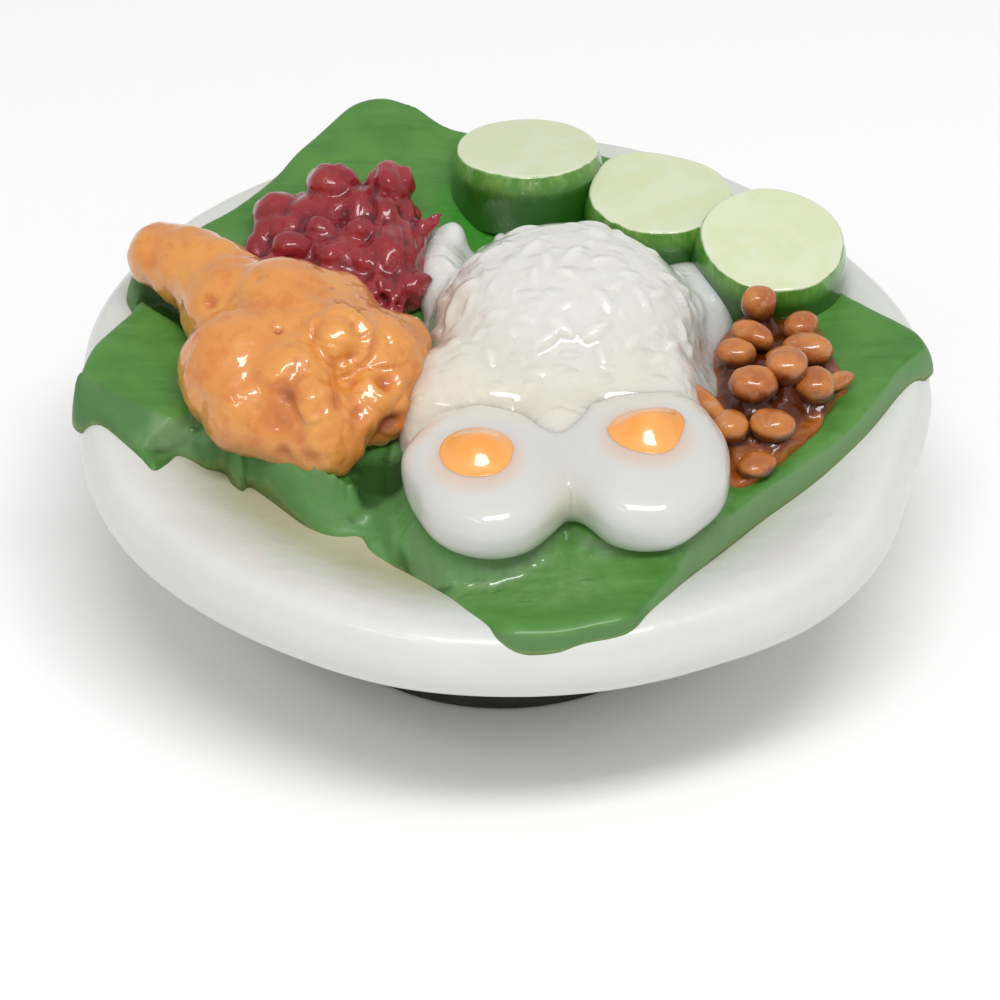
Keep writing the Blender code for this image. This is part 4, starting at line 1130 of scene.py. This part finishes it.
cucumberLook = {
    "radius": 5.2, "flare": 0.45, "thick": 4.6, "edge": 0.28,
    # tilt to the back and to the right in degrees, shift, swell (direction in degrees, size)
    "slices": (((12.0, 0.0), (0.0, 0.3, 0.25), (60, 0.0)), ((4.0, 0.0), (0.0, -0.3, -0.2), (118, 0.18)),
               ((-8.0, 3.0), (0.0, 0.0, 0.0), (0, 0.0))),
    "wobble": ((0.010, 2, 1), (0.007, 5, 2)),     # unevenness: size, lobes, shift from slice to slice
    "around": 160, "along": 110, "bump": 0.10,
    "flesh": (0.65, 0.71, 0.43), "core": (0.69, 0.74, 0.52), "cut": (0.71, 0.75, 0.59),
    "skin": (0.075, 0.245, 0.020), "skinDark": (0.014, 0.092, 0.003), "skinLight": (0.17, 0.36, 0.07),
}


def cucumberMesh(number, tilt, shift, swell, material):
    look = cucumberLook
    tiltBack, tiltRight = map(math.radians, tilt)
    radius, flare, thick, edge = look["radius"], look["flare"], look["thick"], look["edge"]
    low, high = boxOf(f"cucumber_slice_{number}")
    profile = [(0.0, 0.06, 0.0), (radius * 0.5, 0.04, 0.0), (radius - edge - 0.3, 0.0, 0.0)]
    for k in range(1, 9):                 # the rounded edge of the cut
        a = math.radians(90 - 90 * k / 8)
        profile.append((radius - edge + edge * math.cos(a), -edge + edge * math.sin(a), 0.0))
    profile += [(radius + flare * out, -thick * down, 0.0) for out, down in ((0.6, 0.3), (1, 0.65), (1.2, 1))]
    mesh = turned(f"cucumber{number}", profile + [(0.0, -thick, 0.0)], look, material)
    coords = coordsOf(mesh)
    angle = np.arctan2(coords[:, 1], coords[:, 0])
    wobble = sum((size * np.sin(lobes * angle + step * number) for size, lobes, step in look["wobble"]), 1)
    wobble += swell[1] * np.maximum(0, np.cos(angle - math.radians(swell[0]))) ** 6
    coords[:, :2] *= wobble[:, None]
    setAttribute(mesh, "depth", -coords[:, 2])
    setAttribute(mesh, "out", np.hypot(coords[:, 0], coords[:, 1]) / radius / wobble)
    turn = np.array(Matrix.Rotation(-tiltBack, 3, "X") @ Matrix.Rotation(tiltRight, 3, "Y"))
    face = np.array([*((low + high) / 2)[:2], high[2] - radius * abs(math.sin(tiltBack))]) + shift
    setCoords(mesh, coords @ turn.T + face)
    return mesh


def cucumberFinish():
    f = Finish("cucumber", cucumberLook, Roughness=0.38, Coat_Weight=1.0, Coat_Roughness=0.05, IOR=1.5)
    depth, out = f.attribute("depth"), f.attribute("out")
    cloud = f.noise(0.35, 3.0)
    strokes = f.noise(0.9, 3.0, 0.6, stretch=(1.6, 1.6, 0.25))
    skin = f.layered("skin", (f.step(strokes, 0.4, 0.65), "skinLight"),
                     (f.step(depth + strokes * 1.2, 1.0, 2.6), "skinDark"))
    colour = f.layered("flesh", (f.step(cloud, 0.35, 0.7), "core"),
                       (f.step(f.noise(1.6, 3.0, shift=(5, 1, 2)), 0.58, 0.72) * 0.35, "cut"),
                       (f.step(out, 0.88, 0.96) * 0.3, "cut"),
                       (f.step(depth + (f.noise(0.8, 3.0) - 0.5) * 0.3, 0.05, 0.16), skin))
    return f.wear(Base_Color=colour, Normal=f.bump(cloud + strokes * 0.3, cucumberLook["bump"]))


slicePaint = cucumberFinish()
for number, (tilt, shift, swell) in enumerate(cucumberLook["slices"], 1):
    finish(f"cucumber_disc_{number}", cucumberMesh(number, tilt, shift, swell, slicePaint), slicePaint,
           "root", [f"cucumber_slice_{number}"])
print("cucumber sliced")


# eggs

eggLook = {
    "square": 2.7, "grow": (0.15, 0.25, -0.1), "sink": 1.1,     # squareness, growth past the boxes, depth below
    "bridge": ((4.2, -12.6, 21.0), (3.8, 4.5, 3.1)),     # what joins them: middle, half sizes
    "voxel": 0.17, "passes": 12, "soften": 0.55, "melts": 12,
    # unevenness (height, how close together): everywhere, and at the back only, from (place, over how much)
    "waves": ((0.20, 0.28), (0.10, 0.9)), "wavesFrom": (-12.5, 2), "topAbove": 22.5,
    "bump": 0.06, "yolkBump": 0.05,
    "white": (0.635, 0.64, 0.62), "cream": (0.60, 0.585, 0.47), "halo": (0.72, 0.47, 0.34),
    "rice": (0.70, 0.66, 0.58),
    "yolk": (0.93, 0.40, 0.085), "yolkDeep": (0.90, 0.33, 0.035),
    # yolk outlines from their middle
    "yolks": {"left": ((2.5, 0.2), (2.45, 1.0), (2.0, 1.9), (1.2, 2.6), (0.2, 2.85), (-0.9, 2.65), (-2.0, 1.9),
                       (-2.55, 0.6), (-2.4, -0.6), (-1.9, -1.5), (-1.0, -2.15), (0.2, -2.35), (1.4, -2.05),
                       (2.2, -1.1)),
              "right": ((2.5, 0.2), (2.65, 1.4), (2.3, 2.35), (1.2, 2.8), (-0.2, 2.65), (-1.5, 2.1), (-2.3, 1.2),
                        (-2.7, 0.3), (-2.2, -0.9), (-1.3, -1.8), (-0.1, -2.3), (1.1, -2.2), (2.0, -1.4))},
    # how far the front of the left one leans to the right, and where that starts and ends, (place, over how much)
    "lean": (0.95, (-13.5, 6.5), (8, 5)),
    "yolkRise": {"left": 1.05, "right": 1.3}, "yolkTip": 0.10, "yolkPower": 1.7, "yolkSink": 0.5,
}


def eggMesh():
    look = eggLook
    grow = np.array(look["grow"])
    forms = []
    for side in ("left", "right"):
        low, high = boxOf("egg_white_" + side)
        low, high = low - grow - (0, 0, look["sink"]), high + grow
        forms.append(((low + high) / 2, (high - low) / 2, look["square"]))
    forms.append((*map(np.array, look["bridge"]), 2.0))
    balls = [lump(middle, half, spokes=48, rings=32) for middle, half, _ in forms]
    mesh = fused("eggs", balls, look["voxel"], look["passes"])
    melted(mesh, forms, look["soften"], look["melts"])
    coords = coordsOf(mesh)
    shift, (front, frontOver), (right, rightOver) = look["lean"]
    coords[:, 0] += shift * smooth((front - coords[:, 1]) / frontOver) * smooth((right - coords[:, 0]) / rightOver)
    setCoords(mesh, coords)

    def skin(p):                          # even in front, uneven at the back
        (wide, far), (fine, close) = look["waves"]
        start, over = look["wavesFrom"]
        back = float(smooth((p.y - start) / over))
        return wide * noise.noise(p * far) + fine * back * noise.noise(p * close)

    roughen(mesh, skin)
    return mesh


def eggFinish():
    f = Finish("eggWhite", eggLook, Roughness=0.35, Specular_IOR_Level=0.2, Coat_Weight=1.0, Coat_Roughness=0.04,
               IOR=1.5, Subsurface_Weight=0.6, Subsurface_Radius=(1.0, 0.9, 0.75), Subsurface_Scale=1.5 * mm)
    x, y, z = f.spot
    between = f.step(f.maths("ABSOLUTE", x - 4.4), 3.2, 0.2) * f.step(z, 25.6, 22.0)
    backing = y + (x - 4.0) * -0.16 + between * 3.0 + f.noise(0.3, 2.0) * 2
    yolkPlaces = [middleOf("egg_yolk_" + side)[:2] - (0, 0.35) for side in ("left", "right")]
    colour = f.layered("white", (f.noise(0.2, 2.0) * 0.15, "cream"), (between * 0.75, "cream"),
                       (f.step(backing, -12.6, -9.4), "rice"),
                       *((f.step(f.away(place), 3.9, 2.5) * 0.55, "halo") for place in yolkPlaces))
    return f.wear(Base_Color=colour, Normal=f.bump(f.noise(0.5, 2.0), eggLook["bump"]))


eggs = eggMesh()
eggCoords = coordsOf(eggs).copy()


def eggTop(x, y):
    # height of the egg whites under each plan point, from their own finished surface
    top = eggCoords[eggCoords[:, 2] > eggLook["topAbove"]]
    result = np.empty(len(x))
    for i, (px, py) in enumerate(zip(x, y)):
        d = (top[:, 0] - px) ** 2 + (top[:, 1] - py) ** 2
        near = np.argsort(d)[:6]
        result[i] = np.average(top[near, 2], weights=1 / (d[near] + 1e-3))
    return result


def yolkMesh(side):
    look = eggLook
    middle = middleOf("egg_yolk_" + side)
    outline = np.array(look["yolks"][side]) + middle[:2]

    def surface(x, y, share):
        dome = look["yolkRise"][side] * (1 - share ** 2) ** look["yolkPower"]
        return eggTop(x, y) + dome * (1 + look["yolkTip"] * (y - middle[1])) + 0.03

    coords, faces = slabForm(outline, surface, lambda x, y: eggTop(x, y) - look["yolkSink"], 72, 40, middle[:2], 0.05)
    return newMesh("yolk", coords, faces)


def yolkFinish():
    f = Finish("eggYolk", eggLook, Roughness=0.35, Coat_Weight=1.0, Coat_Roughness=0.03, IOR=1.5)
    colour = f.layered("yolk", (f.step(f.noise(0.35, 2.0), 0.35, 0.7), "yolkDeep"))
    return f.wear(Base_Color=colour, Normal=f.bump(f.noise(0.6, 2.0), eggLook["yolkBump"]))


yolks = {side: yolkMesh(side) for side in ("left", "right")}
finish("egg_whites_joined", eggs, eggFinish(), "root", ["egg_white_left", "egg_white_right"])
yolkPaint = yolkFinish()
for side, mesh in yolks.items():
    finish("yolk_" + side, mesh, yolkPaint, "root", ["egg_yolk_" + side])
print("eggs halved")


# peanuts

nutLook = {
    # plan centre, height, half length, half width, half thickness, turn and tip in degrees
    "nuts": (((18.4, 3.0), 23.0, 1.35, 1.25, 1.45, 0, 0), ((17.9, -0.1), 22.6, 1.65, 1.05, 1.0, -32, 0),
             ((16.6, -1.9), 22.4, 1.50, 1.15, 1.0, -5, 0), ((21.4, 1.6), 22.0, 1.30, 1.25, 1.2, 0, 0),
             ((21.7, -1.1), 22.1, 1.85, 1.35, 1.2, -8, 0), ((20.1, -4.8), 23.6, 1.60, 1.50, 1.25, 20, 0),
             ((17.7, -6.4), 23.2, 1.80, 1.45, 1.3, 0, 0), ((22.1, -5.2), 22.2, 1.45, 1.40, 1.3, 0, 0),
             ((19.0, -9.4), 22.0, 1.65, 1.30, 1.15, -4, 0), ((16.0, -9.6), 22.0, 1.25, 1.3, 1.15, 0, 0),
             ((17.8, -12.1), 20.6, 1.50, 1.10, 0.8, 20, 0), ((20.0, -1.6), 21.4, 1.3, 1.2, 1.1, 0, 0)),
    "sauceOutline": ((24.4, -3.2), (23.4, 0.4), (22.6, 3.2), (20.0, 4.8), (17.0, 4.6), (15.4, 1.6), (14.2, -2.2),
                     (13.6, -5.8), (14.0, -9.8), (14.8, -13.0), (16.3, -13.5), (17.9, -12.4), (18.9, -11.2),
                     (20.7, -9.6), (22.4, -7.3), (23.2, -5.4)),
    "sauceMiddle": (19.0, -4.6),
    "fish": (((13.4, -5.9, 22.6), (14.4, -7.4, 22.6), (15.2, -8.8, 22.4), (15.9, -10.1, 22.0)),
             ((22.9, -4.6, 21.6), (23.8, -3.9, 21.6), (24.6, -3.3, 21.4))),
    "fishRadius": 0.55, "fishVoxel": 0.11, "fishPasses": 3, "bump": 0.14, "sauceBump": 0.30, "sauceHollow": (10, 0.1),
    "sauceThick": 0.75, "sauceMound": 1.2, "sauceReach": 0.58, "sauceBelow": 0.35,
    "sauceWaves": ((0.30, 0.7, (0, 0, 0)), (0.10, 1.6, (0, 0, 0))),
    # "dark" is the painted shade underneath the nuts
    "nut": (0.40, 0.105, 0.014), "tan": (0.56, 0.19, 0.034), "dark": (0.070, 0.010, 0.002),
    # pale patches: uneven paint, and in part painted sheen
    "haze": (0.55, 0.30, 0.16), "sauce": (0.27, 0.060, 0.006), "sauceDark": (0.085, 0.015, 0.002),
    "sauceLight": (0.42, 0.12, 0.014),
}


def nutTree():
    b = Build("nutHeap", Dimple=("Float", 0.12), Segments=("Int", 40), Rings=("Int", 26))
    ball = b.add("GeometryNodeMeshUVSphere", None,
                 {"Segments": b.given("Segments"), "Rings": b.given("Rings"), "Radius": 1.0})
    x, y, z = b.parts(b.add("GeometryNodeInputPosition"))
    flatter = b.add("ShaderNodeCombineXYZ", values=[x, y, (z - z * z * z * 0.18) * 1.14])
    ball = b.add("GeometryNodeSetPosition", None, {"Geometry": ball, "Position": flatter})
    # the ball's height, which the nut paint darkens from underneath as painted shade
    marked = b.add("GeometryNodeStoreNamedAttribute", {"data_type": "FLOAT", "domain": "POINT"},
                   {"Geometry": ball, "Name": "height", "Value": z})
    turn, size = (b.add("GeometryNodeInputNamedAttribute", {"data_type": "FLOAT_VECTOR"}, {"Name": name})
                  for name in ("turn", "size"))
    nuts = b.add("GeometryNodeInstanceOnPoints", None,
                 {"Points": b.given("Geometry"), "Instance": marked, "Rotation": turn, "Scale": size})
    real = b.add("GeometryNodeRealizeInstances", values=[nuts])
    wobble = b.add("ShaderNodeTexNoise", None,
                   {"Vector": b.add("GeometryNodeInputPosition"), "Scale": 0.5, "Detail": 1.0})
    push = b.add("ShaderNodeVectorMath", {"operation": "SCALE"},
                 {"Vector": b.add("GeometryNodeInputNormal"), "Scale": (wobble - 0.5) * 4.0 * b.given("Dimple")})
    return b.end(b.add("GeometryNodeSetPosition", None, {"Geometry": real, "Offset": push}))


def nutMesh(material):
    nuts = nutLook["nuts"]
    points = [(x, y, height) for (x, y), height, *_ in nuts]
    turns = [(0.0, math.radians(tip), math.radians(turn)) for *_, turn, tip in nuts]
    sizes = [(long, wide, thick) for _, _, long, wide, thick, _, _ in nuts]
    holder = newObject("nuts", newMesh("nuts", points, [], turn=turns, size=sizes))
    return settled(nutTree().on(holder, Material=material))


def nutFinish():
    f = Finish("nutPaint", nutLook, Roughness=0.4, Specular_IOR_Level=0.3, Coat_Weight=1.0, Coat_Roughness=0.04,
               IOR=1.5)
    # darker underneath: painted shade
    under = f.step(f.attribute("height") + (f.noise(0.9, 2.0) - 0.5) * 0.9, 0.50, -0.25)
    colour = f.layered("nut", (f.step(f.noise(0.5, 3.0), 0.35, 0.65), "tan"),
                       # pale patches here and there: uneven paint, and in part painted sheen
                       (f.step(f.noise(1.4, 4.0, 0.65, shift=(3, 3, 1)), 0.54, 0.70) * 0.6, "haze"),
                       (under * 0.9, "dark"))
    return f.wear(Base_Color=colour, Normal=f.bump(f.noise(1.0, 3.0), nutLook["bump"]))


def sauceMesh():
    look = nutLook

    def surface(x, y, share):
        ground = leafTop(x, y)
        top = ground + look["sauceThick"] * np.sqrt(np.maximum(0, 1 - share ** 5)) \
            + look["sauceMound"] * np.maximum(0, 1 - (share / 0.8) ** 2)
        for centre, height, long, wide, *_ in look["nuts"]:         # it stands up round every nut
            reach = bell(x, y, centre, (long + wide) * look["sauceReach"])
            top = np.maximum(top, ground + (height - look["sauceBelow"] - ground) * reach)
        return top + 0.05

    coords, faces = slabForm(look["sauceOutline"], surface, lambda x, y: leafTop(x, y) - 0.4, 120, 70,
                             look["sauceMiddle"], 0.04)
    mesh = newMesh("sauce", coords, faces)
    mesh.update()
    roughen(mesh, lambda p: swells(p, look["sauceWaves"]))
    addHollow(mesh, *look["sauceHollow"])
    return mesh


def sauceFinish():
    f = Finish("darkGlaze", nutLook, Roughness=0.4, Specular_IOR_Level=0.2, Coat_Weight=0.7, Coat_Roughness=0.04,
               IOR=1.4)
    cloud = f.noise(0.5, 4.0, 0.6)
    colour = f.layered("sauce", (f.step(cloud, 0.35, 0.65), "sauceLight"),
                       (f.step(f.spot[2] + (cloud - 0.5) * 1.5, 20.5, 21.2), "sauceDark"))
    return f.wear(Base_Color=colour, Normal=f.bump(f.noise(1.0, 2.0), nutLook["sauceBump"]))


def fishMesh():
    forms = []
    for path in map(np.array, nutLook["fish"]):
        for k in range(25):
            t = k / 24 * (len(path) - 1)
            i = min(int(t), len(path) - 2)
            at = path[i] + (path[i + 1] - path[i]) * (t - i)
            thick = nutLook["fishRadius"] * (0.75 + 0.45 * math.sin(math.pi * k / 24))
            forms.append(lump(at, thick, spokes=16, rings=10))
    return fused("fish", forms, nutLook["fishVoxel"], nutLook["fishPasses"])


nutPaint = nutFinish()
finish("nuts_glazed", nutMesh(nutPaint), nutPaint, "root", ["peanuts"])
finish("sauce_pool", sauceMesh(), sauceFinish(), "root", ["peanuts"])
fish = fishMesh()
# halfway up, so the anchovies take little of the nut paint's painted shade
setAttribute(fish, "height", np.full(len(fish.vertices), 0.5))
finish("anchovies", fish, nutPaint, "root", ["peanuts"])
print("peanuts heaped")


# floor, light and camera

studio = {
    "floor": (0.97, 0.97, 0.97), "air": 0.60,
    # towards the light: degrees round from the front (right is above 0) and up, distance, size, power
    "softboxes": ((12, 66, 0.42, (0.26, 0.08), 1.0), (-38, 48, 0.42, (0.12, 0.02), 0.06)),
    "aim": (0.0, 0.0, 0.019), "distance": 0.45, "elevation": 39.0, "lens": 226.8,
    "nod": 1.146, "pan": 0.018,           # how far it is turned down and to the left of the aim, in degrees
}

floorMesh = newMesh("floor", [(-3, -3, 0), (3, -3, 0), (3, 3, 0), (-3, 3, 0)], [(0, 1, 2, 3)])
paper = Finish("paper", studio, Roughness=0.9)
floorMesh.materials.append(paper.wear(Base_Color=(*studio["floor"], 1.0)))
newObject("floor", floorMesh)

world = bpy.data.worlds.new("studioAir")
world.use_nodes = True
world.node_tree.nodes["Background"].inputs["Color"].default_value = (1, 1, 1, 1)
world.node_tree.nodes["Background"].inputs["Strength"].default_value = studio["air"]
bpy.context.scene.world = world

aim = Vector(studio["aim"])
for number, (side, height, away, size, power) in enumerate(studio["softboxes"], 1):
    box = bpy.data.lights.new(f"softbox{number}", "AREA")
    box.shape, box.size, box.size_y, box.energy = "RECTANGLE", size[0], size[1], power
    lamp = newObject(f"softbox{number}", box)
    side, height = math.radians(side), math.radians(height)
    toLight = Vector((math.sin(side) * math.cos(height), -math.cos(side) * math.cos(height), math.sin(height)))
    lamp.location = aim + away * toLight
    lamp.rotation_euler = toLight.to_track_quat("Z", "Y").to_euler()

lens = bpy.data.cameras.new("camera")
lens.sensor_width, lens.lens = 36.0, studio["lens"]
lens.clip_start, lens.clip_end = 0.01, 20.0
camera = newObject("camera", lens)
rise = math.radians(studio["elevation"])
camera.location = aim + studio["distance"] * Vector((0, -math.cos(rise), math.sin(rise)))
camera.rotation_euler = (math.pi / 2 - rise - math.radians(studio["nod"]), 0, math.radians(studio["pan"]))
bpy.context.scene.camera = camera
bpy.context.scene.view_settings.view_transform = "Standard"

print("studio set")
